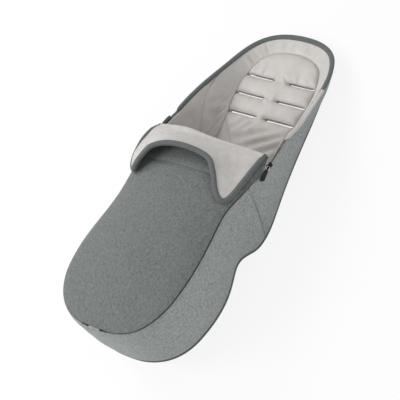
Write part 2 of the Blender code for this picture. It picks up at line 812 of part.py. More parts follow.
def inset(outline, distance):
    """The outline moved in by a distance, square to itself. Its ends stay on their lines, and points that
    pass each other in a tight bend meet halfway."""
    moved = []
    for i, point in enumerate(outline):
        run = unit(outline[min(i + 1, len(outline) - 1)] - outline[max(i - 1, 0)])
        if i == 0:
            run = vec(1, 0, 0)
        if i == len(outline) - 1:
            run = vec(0, 1, 0)
        moved.append(point + vec(-run[1], run[0], 0) * distance)
    for i in range(len(moved) - 1):
        if np.dot(moved[i + 1] - moved[i], outline[i + 1] - outline[i]) <= 0:
            moved[i] = moved[i + 1] = (moved[i] + moved[i + 1]) / 2
    return moved


def cuff_place(point, height):
    """A point of the cuff this high over its underside. The middle of the arch stands off the cover."""
    across = point[0] / CUFF_HALF_WIDTH
    forward = (FOLD_Y - point[1]) / (CUFF_DROP * CUFF_OUTLINE_SHARES[0][1])
    arch = ARCH_LIFT * (1 - across**2) ** 2 * min(max(forward, 0), 1) ** 2
    lift = FOLD_GAP + (CUFF_LIFT - FOLD_GAP) * ease((FOLD_Y - point[1]) / FOLD_RISE)
    return vec(point[0], point[1], cover_height(point[0], point[1]) + lift + arch + height)


def cuff_layer(name, slot, low, high):
    free = inset(cuff_outline(), CUFF_BINDING + GAP)
    width = free[-1][0]
    grids = []
    for height in (low, high):
        grid = []
        for end, share in zip(free, CUFF_FOLD_SHARES):
            start = vec(width * share, FOLD_Y, 0)
            grid.append([cuff_place(start + (end - start) * t, height) for t in CUFF_COLUMNS])
        grids.append(grid)
    return slab(name, slot, *grids, mirror=True)


def make_cuff():
    wadding_low, wadding_high = FABRIC + GAP, CUFF_THICK - 2 * FABRIC
    cuff_layer("cuff_under_panel", "cover_felt", 0, FABRIC)
    cuff_layer("cuff_wadding", "wadding", wadding_low, wadding_high)
    cuff_layer("cuff_fleece", "fleece", wadding_high + GAP, CUFF_THICK)
    outline = cuff_outline()
    steps = [inset(outline, distance) for distance in (0, FABRIC, CUFF_BINDING)]
    rings = []
    for edge, shoulder, root in zip(*steps):
        rings.append((
            cuff_place(root, 0),
            cuff_place(shoulder, 0),
            cuff_place(edge, FABRIC),
            cuff_place(edge, CUFF_THICK - FABRIC),
            cuff_place(shoulder, CUFF_THICK),
            cuff_place(root, CUFF_THICK),
        ))
    sweep("cuff_binding", "trim_grey", rings, mirror=True)


# Zip
def zip_frame(s):
    """Axes at the zip line: along it to the toe, out from the seam, and across it on to the cover."""
    step = 0.02
    low, high = max(s - step, 0), min(s + step, LAST_RIB)
    along = unit(top_edge(low) - top_edge(high))
    outwards = unit(UP - inward(s))
    outwards = unit(outwards - along * np.dot(along, outwards))
    return along, outwards, np.cross(along, outwards)


ZIP_PROFILE = (
    (COIL_NEAR, COIL_TOP),
    (COIL_FAR, COIL_TOP),
    (COIL_FAR, TAPE_TOP),
    (TAPE_WIDTH, TAPE_TOP),
    (TAPE_WIDTH, TAPE_TOP + TAPE_THICK),
    (COIL_NEAR, TAPE_TOP + TAPE_THICK),
)


def make_zips():
    shell_ribs = HULL.marks(ZIP_STOP_RIB, ZIP_TOP_RIB - 0.5)
    cover_end = station_at(COVER_ZIP_END_SHARE * HALF_LENGTH)
    cover_ribs = LID.marks(ZIP_STOP_RIB, cover_end)
    both_sides("zip_shell_half", "zip_black", lambda name, slot: sweep(name, slot, [
        [HULL.at(s, from_edge(s, a), depth) for a, depth in ZIP_PROFILE] for s in shell_ribs]))
    both_sides("zip_cover_half", "zip_black", lambda name, slot: sweep(name, slot, [
        [LID.at(s, lid_column(s, a), depth) for a, depth in ZIP_PROFILE] for s in cover_ribs]))


def box_mesh(name, low, high, axes, origin):
    """A box between two corners along three axes."""
    mesh = bpy.data.meshes.new(name)
    shape = bmesh.new()
    bmesh.ops.create_cube(shape, size=1.0)
    low, high = np.array(low), np.array(high)
    for v in shape.verts:
        place = (np.array(v.co) + 0.5) * (high - low) + low
        v.co = origin + sum(axis * p for axis, p in zip(axes, place))
    if np.dot(np.cross(axes[0], axes[1]), axes[2]) < 0:
        bmesh.ops.reverse_faces(shape, faces=shape.faces)
    shape.to_mesh(mesh)
    shape.free()
    return mesh


def applied(obj):
    """The object's mesh with its modifiers applied."""
    graph = bpy.context.evaluated_depsgraph_get()
    graph.update()
    return bpy.data.meshes.new_from_object(obj.evaluated_get(graph))


def join(base, others):
    for other in others:
        modifier = base.modifiers.new("Union", "BOOLEAN")
        modifier.operation = "UNION"
        modifier.solver = "EXACT"
        modifier.object = other
        other.display_type = "WIRE"
        other.hide_render = True
    bpy.context.view_layer.update()
    base.data = applied(base)
    base.modifiers.clear()
    for other in others:
        bpy.data.objects.remove(other, do_unlink=True)
    return base


SLIDER_RIB = station_at(SLIDER_SHARE * HALF_LENGTH)
SLIDER_TOP = SLIDER_RISE + SLIDER_PLATE
SLIDER_SINK = SLIDER_PLATE / 2


def slider_boxes():
    """The slider's top plate, its post between the two rows of teeth, and the plate under them."""
    half, wide, post, heel = SLIDER_LENGTH / 2, SLIDER_WIDTH / 2, SLIDER_POST / 2, SLIDER_HEEL_WIDTH / 2
    back, front = SLIDER_STEP - half, SLIDER_STEP - half + SLIDER_POST_LENGTH
    yield (-half, SLIDER_RISE, -wide), (half, SLIDER_TOP, wide)
    yield (back, -SLIDER_HEEL_DEPTH - SLIDER_SINK, -post), (front, SLIDER_TOP - SLIDER_SINK, post)
    yield (-half, -SLIDER_HEEL_DEPTH - SLIDER_HEEL, -heel), (half, -SLIDER_HEEL_DEPTH, heel)


def make_bail(name, axes, origin):
    """The arch on the slider that holds the pull's link."""
    foot, crown = SLIDER_TOP - SLIDER_SINK, SLIDER_TOP + BAIL_HOLE
    near, far = BAIL_SHIFT - BAIL_HALF_LENGTH, BAIL_SHIFT + BAIL_HALF_LENGTH
    arch = (
        (near - BAIL_BAR, foot), (near - BAIL_BAR, crown + BAIL_BAR),
        (far + BAIL_BAR, crown + BAIL_BAR), (far + BAIL_BAR, foot),
        (far, foot), (far, crown), (near, crown), (near, foot),
    )
    rings = [
        [origin + axes[0] * a + axes[1] * b + axes[2] * side for a, b in arch]
        for side in (-BAIL_WIDTH / 2, BAIL_WIDTH / 2)
    ]
    return sweep(name, None, rings, home=CUTTERS)


def make_slider(name, slot):
    axes, origin = zip_frame(SLIDER_RIB), top_edge(SLIDER_RIB)
    corners = enumerate(slider_boxes())
    meshes = [box_mesh(f"{name}_{i}", low, high, axes, origin) for i, (low, high) in corners]
    plate = node(name, slot, meshes[0])
    others = [node(mesh.name, None, mesh, home=CUTTERS) for mesh in meshes[1:]]
    return join(plate, [*others, make_bail(f"{name}_bail", axes, origin)])


def pull_frame():
    """Origin and axes of the hanging pull: along it, its hinge, and out of its flat face."""
    along, outwards, across = zip_frame(SLIDER_RIB)
    down = along * math.cos(TAB_SWING) - across * math.sin(TAB_SWING)
    hinge = np.cross(down, outwards)
    face = outwards * math.cos(TAB_DROP) + down * math.sin(TAB_DROP)
    down = down * math.cos(TAB_DROP) - outwards * math.sin(TAB_DROP)
    rise = SLIDER_RISE + SLIDER_PLATE + BAIL_HOLE / 2
    return top_edge(SLIDER_RIB) + along * BAIL_SHIFT + outwards * rise, (down, hinge, face)


def make_link(name, slot):
    origin, (down, hinge, _) = pull_frame()
    corner = LINK_WIRE * 2
    half, length = LINK_HALF_WIDTH, LINK_LENGTH
    turn = corner * (1 - math.sqrt(0.5))
    path = (
        (0, -half + corner), (turn, -half + turn), (corner, -half),
        (length - corner, -half), (length - turn, -half + turn), (length, -half + corner),
        (length, half - corner), (length - turn, half - turn), (length - corner, half),
        (corner, half), (turn, half - turn), (0, half - corner),
    )
    loop = tube_loop(name, slot, [origin + down * a + hinge * b for a, b in path], LINK_WIRE, 2)
    mesh = applied(loop)
    bpy.data.objects.remove(loop, do_unlink=True)
    return node(name, slot, mesh)


def cut(target, cutter):
    modifier = target.modifiers.new(f"Cut {cutter.name}", "BOOLEAN")
    modifier.operation = "DIFFERENCE"
    modifier.solver = "EXACT"
    modifier.object = cutter
    return modifier


def make_tab(name, slot):
    """The moulded tab, with an eye through which the far bar of the link passes."""
    origin, axes = pull_frame()
    down, hinge, face = axes
    eye, root, wide = TAB_EYE_WIDTH / 2, TAB_ROOT_WIDTH / 2, TAB_END_WIDTH / 2
    start = LINK_LENGTH - TAB_EYE
    end = start + TAB_LENGTH
    right_edge = (
        (start, eye), (start + TAB_EYE * 2, eye), (start + TAB_EYE * 3, root),
        (end - wide, wide), (end - wide / 4, wide / 2), (end, 0),
    )
    outline = list(right_edge) + [(a, -b) for a, b in right_edge[-2::-1]]
    rings = []
    for height in (-TAB_THICK / 2, TAB_THICK / 2):
        rings.append([origin + down * a + hinge * b + face * height for a, b in outline])
    tab = sweep(name, slot, rings)
    hole = box_mesh(f"{name}_eye", (LINK_LENGTH - TAB_EYE_HOLE, -wide, -TAB_EYE_HOLE),
                    (LINK_LENGTH + TAB_EYE_HOLE, wide, TAB_EYE_HOLE), axes, origin)
    cutter = node(f"{name}_eye", None, hole, home=CUTTERS)
    cut(tab, cutter)
    bpy.context.view_layer.update()
    mesh = applied(tab)
    tab.modifiers.clear()
    tab.data = mesh
    bpy.data.objects.remove(cutter, do_unlink=True)
    return tab


def make_stop(name, slot):
    """The metal stop clamped over the last teeth of both halves."""
    along, outwards, across = zip_frame(ZIP_STOP_RIB)
    length, thick, wide = STOP_SIZE
    low = (GAP, -COIL_TOP - thick / 2, -wide / 2)
    high = (GAP + length, -COIL_TOP + thick / 2, wide / 2)
    return node(name, slot, box_mesh(name, low, high, (along, outwards, across), top_edge(ZIP_STOP_RIB)))


def make_toe_bridge():
    """The sewn strip at the toe centre, on which the cover folds."""
    rings = []
    for s in (0, ZIP_STOP_RIB / 2):
        outwards, across = unit(UP - inward(s)), unit(UP + inward(s))
        rings.append([
            top_edge(s) + across * a - outwards * (COIL_TOP + b)
            for a, b in (
                (-BRIDGE_HALF_WIDTH, 0), (BRIDGE_HALF_WIDTH, 0),
                (BRIDGE_HALF_WIDTH, LINING), (-BRIDGE_HALF_WIDTH, LINING),
            )
        ])
    sweep("toe_bridge", "trim_grey", rings, mirror=True)


def drop_on(tree, x, y, up):
    """Height at which a vertical line at (x, y) meets a shape, seen from above or from below."""
    hit = tree.ray_cast((x, y, HEIGHT * up * 2), (0, 0, -up))[0]
    return hit[2]


def make_slots():
    """Cuts through the backrest, each lined with a turned edge."""
    rows = []
    for row, (near, far) in zip(slot_rows(), slot_spans()):
        rows += [(far - near, side * (near + far) / 2, row) for side in (-1, 1)]
    rows.append((CROTCH_SLOT_LENGTH, 0.0, CROTCH_SLOT_SHARE * HALF_LENGTH))
    names = [f"slot_facing_{row}_{side}" for row in ("low", "middle", "top") for side in ("left", "right")]
    names.append("crotch_slot_facing")
    trees = {}
    graph = bpy.context.evaluated_depsgraph_get()
    for target in ("backrest_back_panel", "backrest_centre_panel", "foot_bag_back_lining"):
        trees[target] = BVHTree.FromObject(bpy.data.objects[target], graph)
    wall = SLOT_FACING + GAP
    for name, (length, x, y) in zip(names, rows):
        face = "foot_bag_back_lining" if name.startswith("crotch") else "backrest_centre_panel"
        x0, x1, y0, y1 = x - length / 2, x + length / 2, y - SLOT_OPENING / 2, y + SLOT_OPENING / 2
        cutter = box_mesh(f"{name}_cut", (x0 - wall, y0 - wall, -SLOT_OVERRUN),
                          (x1 + wall, y1 + wall, SLOT_OVERRUN + BACK), np.eye(3), np.zeros(3))
        helper = node(f"{name}_cut", None, cutter, home=CUTTERS)
        helper.display_type = "WIRE"
        helper.hide_render = True
        for target in ("backrest_back_panel", "backrest_wadding", face):
            cut(bpy.data.objects[target], helper)
        loop = [(share, 0) for share in FACING_SHARES] + [(share, 1) for share in FACING_SHARES[::-1]]
        walls = []
        for grow in (0, SLOT_FACING):
            columns = []
            for a, b in loop:
                column_x = x0 + (x1 - x0) * a + grow * ((a == 1) - float(a == 0))
                column_y = y0 + (y1 - y0) * b + grow * (2 * b - 1)
                low = drop_on(trees["backrest_back_panel"], column_x, y, -1) + SLOT_FACING
                high = drop_on(trees[face], column_x, y, 1)
                columns.append([vec(column_x, column_y, z) for z in (low, high)])
            walls.append(columns)
        ring_slab(name, "lining", *walls)


def ring_slab(name, slot, inner, outer):
    """A tube between an inner and an outer wall, each a closed row of columns."""
    count = len(inner)
    points = [p for wall in (inner, outer) for column in wall for p in column]

    def at(wall, i, top):
        return (wall * count + i % count) * 2 + top

    faces = []
    for i in range(count):
        faces.append((at(0, i, 0), at(0, i, 1), at(0, i + 1, 1), at(0, i + 1, 0)))
        faces.append((at(1, i, 0), at(1, i + 1, 0), at(1, i + 1, 1), at(1, i, 1)))
        for top in (0, 1):
            rim = (at(0, i, top), at(1, i, top), at(1, i + 1, top), at(0, i + 1, top))
            faces.append(rim if top else rim[::-1])
    return node(name, slot, tidy_mesh(name, points, faces))


def ride_on(name, place, pieces):
    """An empty on a joint's axis, which carries the pieces that turn or slide with it."""
    carrier = bpy.data.objects.new(name, None)
    PARTS.objects.link(carrier)
    carrier.location = place
    for piece in pieces:
        bpy.data.objects[piece].parent = carrier
        bpy.data.objects[piece].location = -np.array(place)


def pieces_named(*starts):
    return [o.name for o in PARTS.objects if o.name.startswith(starts)]


def make_joints():
    toe = top_edge(0)
    fold_height = (cover_height(0, FOLD_Y) + cover_height(CUFF_HALF_WIDTH, FOLD_Y)) / 2 + FOLD_GAP
    ride_on("cover_hinge", toe, pieces_named("cover_", "zip_cover"))
    ride_on("cuff_hinge", vec(0, FOLD_Y, fold_height), pieces_named("cuff_"))
    for side, flip in (("right", vec(1, 1, 1)), ("left", vec(-1, 1, 1))):
        ride_on(f"slider_{side}_slide", top_edge(SLIDER_RIB) * flip, [f"zip_slider_{side}"])
        ride_on(f"pull_{side}_hinge", pull_frame()[0] * flip, [f"pull_link_{side}", f"pull_tab_{side}"])


make_outer_shell()
make_piping()
make_wadding()
make_linings()
make_rim_binding()
make_cover()
make_cuff()
make_zips()
both_sides("zip_slider", "zip_black", make_slider)
both_sides("pull_link", "link_metal", make_link)
both_sides("pull_tab", "pull_black", make_tab)
both_sides("zip_stop", "zip_black", make_stop)
make_toe_bridge()
make_slots()
make_joints()
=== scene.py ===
"""The looks of the stroller footmuff: cloth, padding, seams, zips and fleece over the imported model."""

import math

import bmesh
import bpy
import numpy as np
from mathutils import Matrix, Vector, noise
from mathutils.bvhtree import BVHTree
from mathutils.geometry import delaunay_2d_cdt
from mathutils.kdtree import KDTree


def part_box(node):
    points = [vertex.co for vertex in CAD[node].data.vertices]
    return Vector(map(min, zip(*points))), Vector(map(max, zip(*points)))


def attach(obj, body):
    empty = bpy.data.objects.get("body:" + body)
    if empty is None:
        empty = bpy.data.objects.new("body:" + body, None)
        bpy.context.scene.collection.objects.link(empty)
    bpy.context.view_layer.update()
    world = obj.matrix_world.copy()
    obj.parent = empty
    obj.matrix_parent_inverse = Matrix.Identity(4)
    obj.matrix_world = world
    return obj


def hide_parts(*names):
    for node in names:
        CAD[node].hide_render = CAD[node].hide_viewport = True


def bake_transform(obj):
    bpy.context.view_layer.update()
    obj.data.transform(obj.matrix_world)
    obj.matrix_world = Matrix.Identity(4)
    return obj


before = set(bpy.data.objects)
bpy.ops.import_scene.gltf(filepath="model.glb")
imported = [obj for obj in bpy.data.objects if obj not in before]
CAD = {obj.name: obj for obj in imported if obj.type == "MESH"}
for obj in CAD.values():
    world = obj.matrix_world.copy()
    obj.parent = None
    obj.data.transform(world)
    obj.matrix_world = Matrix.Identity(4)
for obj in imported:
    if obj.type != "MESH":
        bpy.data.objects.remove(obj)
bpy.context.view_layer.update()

# Camera: where it stands round the muff, its roll, and its lens on a 36 mm sensor
CAMERA_PLACE = Vector((2.19631, -0.93513, 3.11601))
CAMERA_AZIMUTH = math.radians(68.083)
CAMERA_ELEVATION = math.radians(51.812)
CAMERA_ROLL = math.radians(-45.594)
CAMERA_LENS = 144

# Colours of the cloths, as they look in plain light, but for painted light in the outer cloth's grey and
# painted shade in the wadding's
# Partly painted light: the outer cloth is lighter than the cover cloth, and part of that lightness is light
# from the right painted into its colour
SIDE_GREY_WITH_PAINTED_LIGHT = (0.312, 0.331, 0.324)
COVER_GREY = (0.168, 0.181, 0.177)
BINDING_GREY = (0.130, 0.142, 0.139)
LINING_GREY = (0.590, 0.562, 0.532)
FLEECE_GREY = (0.605, 0.578, 0.550)
# Painted shade: the white wadding is made a mid grey, so that where it shows through gaps it looks shaded
WADDING_GREY_WITH_PAINTED_SHADE = (0.420, 0.410, 0.400)
ZIP_BLACK = (0.010, 0.011, 0.011)
ZIP_TAPE_GREY = (0.125, 0.135, 0.132)
STEEL = (0.620, 0.620, 0.610)

FLOOR = 0.0004
THINNEST = 0.0012
FIELD_MARGIN = 4
CORNER_TURN = math.radians(50)
SLOT_TURN_POINTS = 9
WALL_SAG = 0.0160
CORE_HEIGHT = 0.12
CORE_REACH = 0.30
SMALL = 1e-9
SAME_PLACE = 1e-7
NO_AREA = 1e-12
BORDER_GAP = 0.45
SEAM_CREASE = 0.75
SIDES = ("right", "left")
EVEN = (1, 1, 1)


def unit(v):
    """Each row of an array at length 1."""
    return v / np.maximum(np.linalg.norm(v, axis=-1, keepdims=True), SMALL)


def ease(t):
    t = np.clip(t, 0, 1)
    return t * t * (3 - 2 * t)


def dome(t):
    """A quarter round: 0 at 0, level from 1 on."""
    t = np.clip(t, 0, 1)
    return np.sqrt(1 - (1 - t) ** 2)


def bell(t):
    return np.exp(-t * t)


# Materials
FINISH = ("Roughness", "Specular IOR Level", "Sheen Weight", "Sheen Roughness", "Metallic")


def new_material(name):
    made = bpy.data.materials.new(name)
    made.use_nodes = True
    return made, made.node_tree


def wired(tree, node, sockets, output=0):
    """The node's output, with each of these sockets set to a value or linked to an output."""
    for socket, value in sockets.items():
        if isinstance(value, bpy.types.NodeSocket):
            tree.links.new(value, node.inputs[socket])
        else:
            node.inputs[socket].default_value = value
    return node.outputs[output]


def new_node(tree, kind, sockets, output=0):
    return wired(tree, tree.nodes.new("ShaderNode" + kind), sockets, output)


def math_node(tree, operation, *values):
    node = tree.nodes.new("ShaderNodeMath")
    node.operation = operation
    return wired(tree, node, dict(enumerate(values)))


def noise_node(tree, stretch, scale, detail, rough, distortion=0.0):
    """Noise over object coordinates, stretched along the axes."""
    place = new_node(tree, "TexCoord", {}, "Object")
    place = new_node(tree, "Mapping", {"Vector": place, "Scale": stretch})
    sockets = {"Scale": scale, "Detail": detail, "Roughness": rough, "Distortion": distortion}
    return new_node(tree, "TexNoise", {"Vector": place, **sockets}, "Fac")


def material(name, colour, tone, stops, bump, finish, relief=None, clouds=None):
    """A surface in shades of one colour, by noise.

    tone, relief and clouds are noises: stretch, scale, detail, roughness and distortion. tone is for the
    shades, relief for the bump if it has a noise of its own, and clouds, with its share first, for larger
    patches. stops are places and shares of the colour, bump is strength and distance, and finish is for the
    shader's sockets.
    """
    made, tree = new_material(name)
    shades = height = noise_node(tree, *tone)
    if clouds:
        share, *patches = clouds
        rest = math_node(tree, "MULTIPLY", shades, 1 - share)
        shades = math_node(tree, "MULTIPLY_ADD", noise_node(tree, *patches), share, rest)
    if relief:
        height = noise_node(tree, *relief)
    ramp = tree.nodes.new("ShaderNodeValToRGB")
    elements = ramp.color_ramp.elements
    while len(elements) < len(stops):
        elements.new(0.5)
    for element, (place, share) in zip(elements, stops):
        element.position = place
        element.color = (*(c * share for c in colour), 1)
    strength, distance = bump
    wired(tree, tree.nodes["Principled BSDF"], {
        "Base Color": wired(tree, ramp, {"Fac": shades}),
        "Normal": new_node(tree, "Bump", {"Strength": strength, "Distance": distance, "Height": height}),
        **dict(zip(FINISH, finish)),
    })
    return made


# Melange cloth: fine light and dark fibres that run in short slanting streaks
HEATHER = {
    "tone": ((1.0, 0.45, 0.8), 360, 4.0, 0.72, 0.6),
    "clouds": (0.25, EVEN, 150, 3.0, 0.65),
    "stops": ((0.36, 0.64), (0.50, 1.0), (0.64, 1.36)),
    "relief": ((1.0, 0.5, 1.0), 1300, 2.0, 0.6, 0.4),
    "bump": (0.55, 0.0006),
    "finish": (0.95, 0.15, 0.12, 0.6),
}
# Fine plain-woven lining with a soft gleam
PLAIN_WEAVE = {
    "tone": (EVEN, 28, 3.0, 0.55),
    "stops": ((0.3, 0.95), (0.7, 1.05)),
    "relief": ((1.0, 0.3, 1.0), 1500, 1.0, 0.5),
    "bump": (0.18, 0.0003),
    "finish": (0.58, 0.3, 0.08),
}
# Short dense pile: small tufts in the colour and the bump
PILE = {
    "tone": (EVEN, 420, 4.0, 0.62, 0.5),
    "clouds": (0.4, EVEN, 60, 2.0, 0.5),
    "stops": ((0.36, 0.88), (0.62, 1.07)),
    "bump": (0.5, 0.0009),
    "finish": (1.0, 0.1, 0.25, 0.5),
}
# Tape: a tight rib across its length and a few lighter yarns
RIB = {
    "tone": ((1.0, 0.5, 1.0), 800, 2.0, 0.6),
    "stops": ((0.35, 0.8), (0.65, 1.22)),
    "bump": (0.5, 0.0005),
    "finish": (0.9, 0.15, 0.1),
}
# Moulded or cast hardware, with the faint unevenness of its surface
CAST = {"tone": (EVEN, 900, 2.0, 0.5), "stops": ((0.3, 0.9), (0.7, 1.12)), "bump": (0.15, 0.0002)}

# Each look is a material and its slot
OUTER = (material("side_cloth", SIDE_GREY_WITH_PAINTED_LIGHT, **HEATHER), "outer_felt")
COVER = (material("cover_cloth", COVER_GREY, **HEATHER), "cover_felt")
TRIM = (material("binding_cloth", BINDING_GREY, **RIB), "trim_grey")
LINING = (material("lining_cloth", LINING_GREY, **PLAIN_WEAVE), "lining")
FLEECE = (material("fleece_cloth", FLEECE_GREY, **PILE), "fleece")
WADDING = (material("wadding_fibre", WADDING_GREY_WITH_PAINTED_SHADE, **PILE), "wadding")
ZIP_NYLON = (material("zip_nylon", ZIP_BLACK, finish=(0.5, 0.15), **CAST), "zip_black")
ZIP_TAPE = (material("zip_tape", ZIP_TAPE_GREY, **RIB), "zip_black")
PULL_RUBBER = (material("pull_rubber", ZIP_BLACK, finish=(0.42, 0.15), **CAST), "pull_black")
BRIGHT_WIRE = (material("bright_wire", STEEL, finish=(0.28, 0.5, 0.0, 0.5, 1.0), **CAST), "link_metal")


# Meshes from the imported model
def cad_shape(name):
    """The CAD node with its doubles merged and its triangles joined to quads."""
    shape = bmesh.new()
    shape.from_mesh(CAD[name].data)
    bmesh.ops.remove_doubles(shape, verts=shape.verts, dist=1e-6)
    bmesh.ops.join_triangles(
        shape,
        faces=shape.faces,
        angle_face_threshold=math.radians(60),
        angle_shape_threshold=math.radians(150),
    )
    shape.normal_update()
    return shape


def link(name, data):
    """A new object in the scene."""
    obj = bpy.data.objects.new(name, data)
    bpy.context.scene.collection.objects.link(obj)
    return obj


def mesh_from(shape, name):
    mesh = bpy.data.meshes.new(name)
    shape.to_mesh(mesh)
    shape.free()
    return mesh


def fine_mesh(shape, name, levels):
    """The shape rounded by subdivision."""
    helper = link(name + "_cage", mesh_from(shape, name))
    modifier = helper.modifiers.new("Fine", "SUBSURF")
    modifier.levels = modifier.render_levels = levels
    graph = bpy.context.evaluated_depsgraph_get()
    mesh = bpy.data.meshes.new_from_object(helper.evaluated_get(graph))
    bpy.data.objects.remove(helper)
    return mesh


def set_points(mesh, points):
    mesh.vertices.foreach_set("co", points.astype(np.float32).ravel())


def core_of(points):
    """The nearest points of the muff's middle line, so that away from them is out of the muff."""
    return np.stack((
        np.zeros(len(points)),
        np.clip(points[:, 1], -CORE_REACH, CORE_REACH),
        np.full(len(points), CORE_HEIGHT),
    ), axis=1)


def smooth_regions(shape, angle):
    """The faces in groups that no edge sharper than the angle divides."""
    shape.faces.ensure_lookup_table()
    region = [-1] * len(shape.faces)
    groups = []
    for start in shape.faces:
        if region[start.index] >= 0:
            continue
        region[start.index] = len(groups)
        group, queue = [], [start]
        while queue:
            face = queue.pop()
            group.append(face)
            for edge in face.edges:
                if len(edge.link_faces) != 2 or edge.calc_face_angle(0) > angle:
                    continue
                for other in edge.link_faces:
                    if region[other.index] < 0:
                        region[other.index] = len(groups)
                        queue.append(other)
        groups.append(group)
    return groups


def seen_side(shape, facing):
    """Of the slab's two large faces, the one that looks out of the muff, or with facing -1 into it."""
    groups = sorted(smooth_regions(shape, CORNER_TURN), key=lambda g: -sum(f.calc_area() for f in g))[:2]

    def outwards(group):
        centres = np.array([f.calc_center_median() for f in group])
        normals = np.array([f.normal for f in group])
        areas = np.array([f.calc_area() for f in group])
        return float((((centres - core_of(centres)) * normals).sum(1) * areas).sum())

    return max(groups, key=lambda g: outwards(g) * facing)


def rows_of(items, key, width=3, kind=np.float32):
    """An array of one value of each item of a mesh."""
    values = np.empty(len(items) * width, kind)
    items.foreach_get(key, values)
    return values.reshape(-1, width)


def points_of(mesh):
    return rows_of(mesh.vertices, "co").astype(float)


def edges_of(mesh):
    return rows_of(mesh.edges, "vertices", 2, np.int32)


def normals_of(mesh):
    return rows_of(mesh.vertex_normals, "vector").astype(float)


def tree_of(points):
    tree = KDTree(len(points))
    for i, point in enumerate(points):
        tree.insert(point, i)
    tree.balance()
    return tree


def nearest(tree, points):
    """Distance to, and index of, the nearest point of the tree."""
    found = [tree.find(p) for p in points]
    return np.array([f[2] for f in found]), np.array([f[1] for f in found])


def plan_tree(points):
    return tree_of(np.pad(points[:, :2], ((0, 0), (0, 1))))


def plan_nearest(tree, x, y):
    return nearest(tree, np.column_stack((x, y, np.zeros_like(x))))


def noise_at(points, offset=(0, 0, 0)):
    return np.array([noise.noise(Vector(p) + Vector(offset)) for p in points])


class Cloth:
    """A fine mesh from a CAD slab, whose seen side can be padded, sewn and creased."""

    def __init__(self, node, facing, levels):
        self.node = node
        shape = cad_shape(node)
        seen = shape.verts.layers.float.new("seen")
        for face in seen_side(shape, facing):
            for vert in face.verts:
                vert[seen] = 1.0
        creases = shape.edges.layers.float.new("crease_edge")
        for edge in shape.edges:
            if len(edge.link_faces) == 2 and edge.calc_face_angle(0) > CORNER_TURN:
                edge[creases] = SEAM_CREASE
        self.mesh = fine_mesh(shape, node, levels)
        self.points, self.edges = points_of(self.mesh), edges_of(self.mesh)
        self.normals = normals_of(self.mesh)
        self.seen = rows_of(self.mesh.attributes["seen"].data, "value", 1)[:, 0].astype(float)
        on = self.seen > 0.999
        a, b = self.edges.T
        border = np.zeros(len(on), bool)
        border[a[on[a] & ~on[b]]] = True
        border[b[on[b] & ~on[a]]] = True
        self.border = np.flatnonzero(border)
        ends = self.points[self.edges[border[a] & border[b]]]
        steps = np.linspace(0, 1, 5)[None, :, None]
        seam = (ends[:, :1] * (1 - steps) + ends[:, 1:] * steps).reshape(-1, 3)
        self.depth, _ = nearest(tree_of(seam), self.points)

    def lift(self, heights):
        """Moves the seen side along its normals."""
        self.points += self.normals * (heights * self.seen)[:, None]

    def pad(self, swell, width, sink=0.0):
        """The side swells between its seams, and sinks a little at them."""
        self.lift((swell + sink) * dome(self.depth / width) - sink)

    def ridge(self, target, distance, width, height):
        """A stitched ridge this far from the target points, with a groove on its far side."""
        away, _ = nearest(tree_of(target), self.points)
        groove = 0.8 * bell((away - distance - 2.2 * width) / width)
        self.lift(height * (bell((away - distance) / width) - groove))

    def ripple(self, height, size, seed, stretch=EVEN, start=0.006):
        """Soft waves from noise, which fade out at the seams."""
        scale = np.array(stretch, float) / size
        heights = noise_at(self.points * scale, (seed * 7.3, seed * 3.1, seed * 5.7))
        self.lift(height * heights * ease(self.depth / start / 3))

    def relax(self, rounds, start):
        """Evens out the folds of the cage, away from the seams."""
        a, b = self.edges.T
        number = np.bincount(self.edges.ravel(), minlength=len(self.points))[:, None]
        weight = ease(self.depth / start)[:, None]
        for _ in range(rounds):
            total = np.zeros_like(self.points)
            np.add.at(total, a, self.points[b])
            np.add.at(total, b, self.points[a])
            self.points += (total / number - self.points) * weight
        set_points(self.mesh, self.points)
        self.mesh.update()
        self.normals = normals_of(self.mesh)

    def pleats(self, centre, radius, size, height, seed, start=0.005):
        """Short folds that run out from a centre in plan, this far apart along a circle of that radius."""
        x, y = self.points[:, 0] - centre[0], self.points[:, 1] - centre[1]
        away = np.maximum(np.hypot(x, y), SMALL)
        places = np.column_stack((x / away * radius / size, y / away * radius / size, away / size / 7 + seed))
        self.lift(height * noise_at(places) * ease(self.depth / start / 2))

    def creased(self, lines):
        """Creases given in plan."""
        x, y = self.points[:, 0], self.points[:, 1]
        self.lift(sum(crease(x, y, *c) for c in lines) * ease(self.depth / 0.008))

    def sink_near(self, target, drop, width):
        """Lowers the whole slab near the target points."""
        away, _ = nearest(tree_of(target), self.points)
        self.points[:, 2] -= drop * ease(1 - away / width)

    def reach(self, target, distance, width, near):
        """Draws the border out by this distance where it runs along the target points."""
        ends = self.points[self.border]
        gap, _ = nearest(tree_of(target), ends)
        away, index = nearest(tree_of(ends), self.points)
        towards = np.zeros_like(ends)
        counts = np.zeros(len(ends))
        ring = (self.depth > 0.5 * width) & (self.depth < 1.5 * width) & (self.seen > 0.99)
        for i, j in zip(np.flatnonzero(ring), index[ring]):
            towards[j] += ends[j] - self.points[i]
            counts[j] += 1
        known = counts > 0
        _, fill = nearest(tree_of(ends[known]), ends)
        towards = unit(towards[known][fill])
        amount = soften(ends, distance * (gap < near), 3)
        self.points += towards[index] * (amount[index] * ease(1 - away / width))[:, None]


def sewn(node, name, body, facing, levels, look, *steps):
    """A cloth or a wadding from its CAD slab, shaped step by step."""
    cloth = Cloth(node, facing, levels)
    for step, *values in steps:
        step(cloth, *values)
    cloth.points[:, 2] = np.maximum(cloth.points[:, 2], FLOOR)
    set_points(cloth.mesh, cloth.points)
    return finished(name, cloth.mesh, body, look, node)


def soften(places, values, rounds):
    """The values averaged with those of their nearest neighbours."""
    tree = tree_of(places)
    near = [[j for _, j, _ in tree.find_n(p, 5)] for p in places]
    for _ in range(rounds):
        values = np.array([values[n].mean() for n in near])
    return values


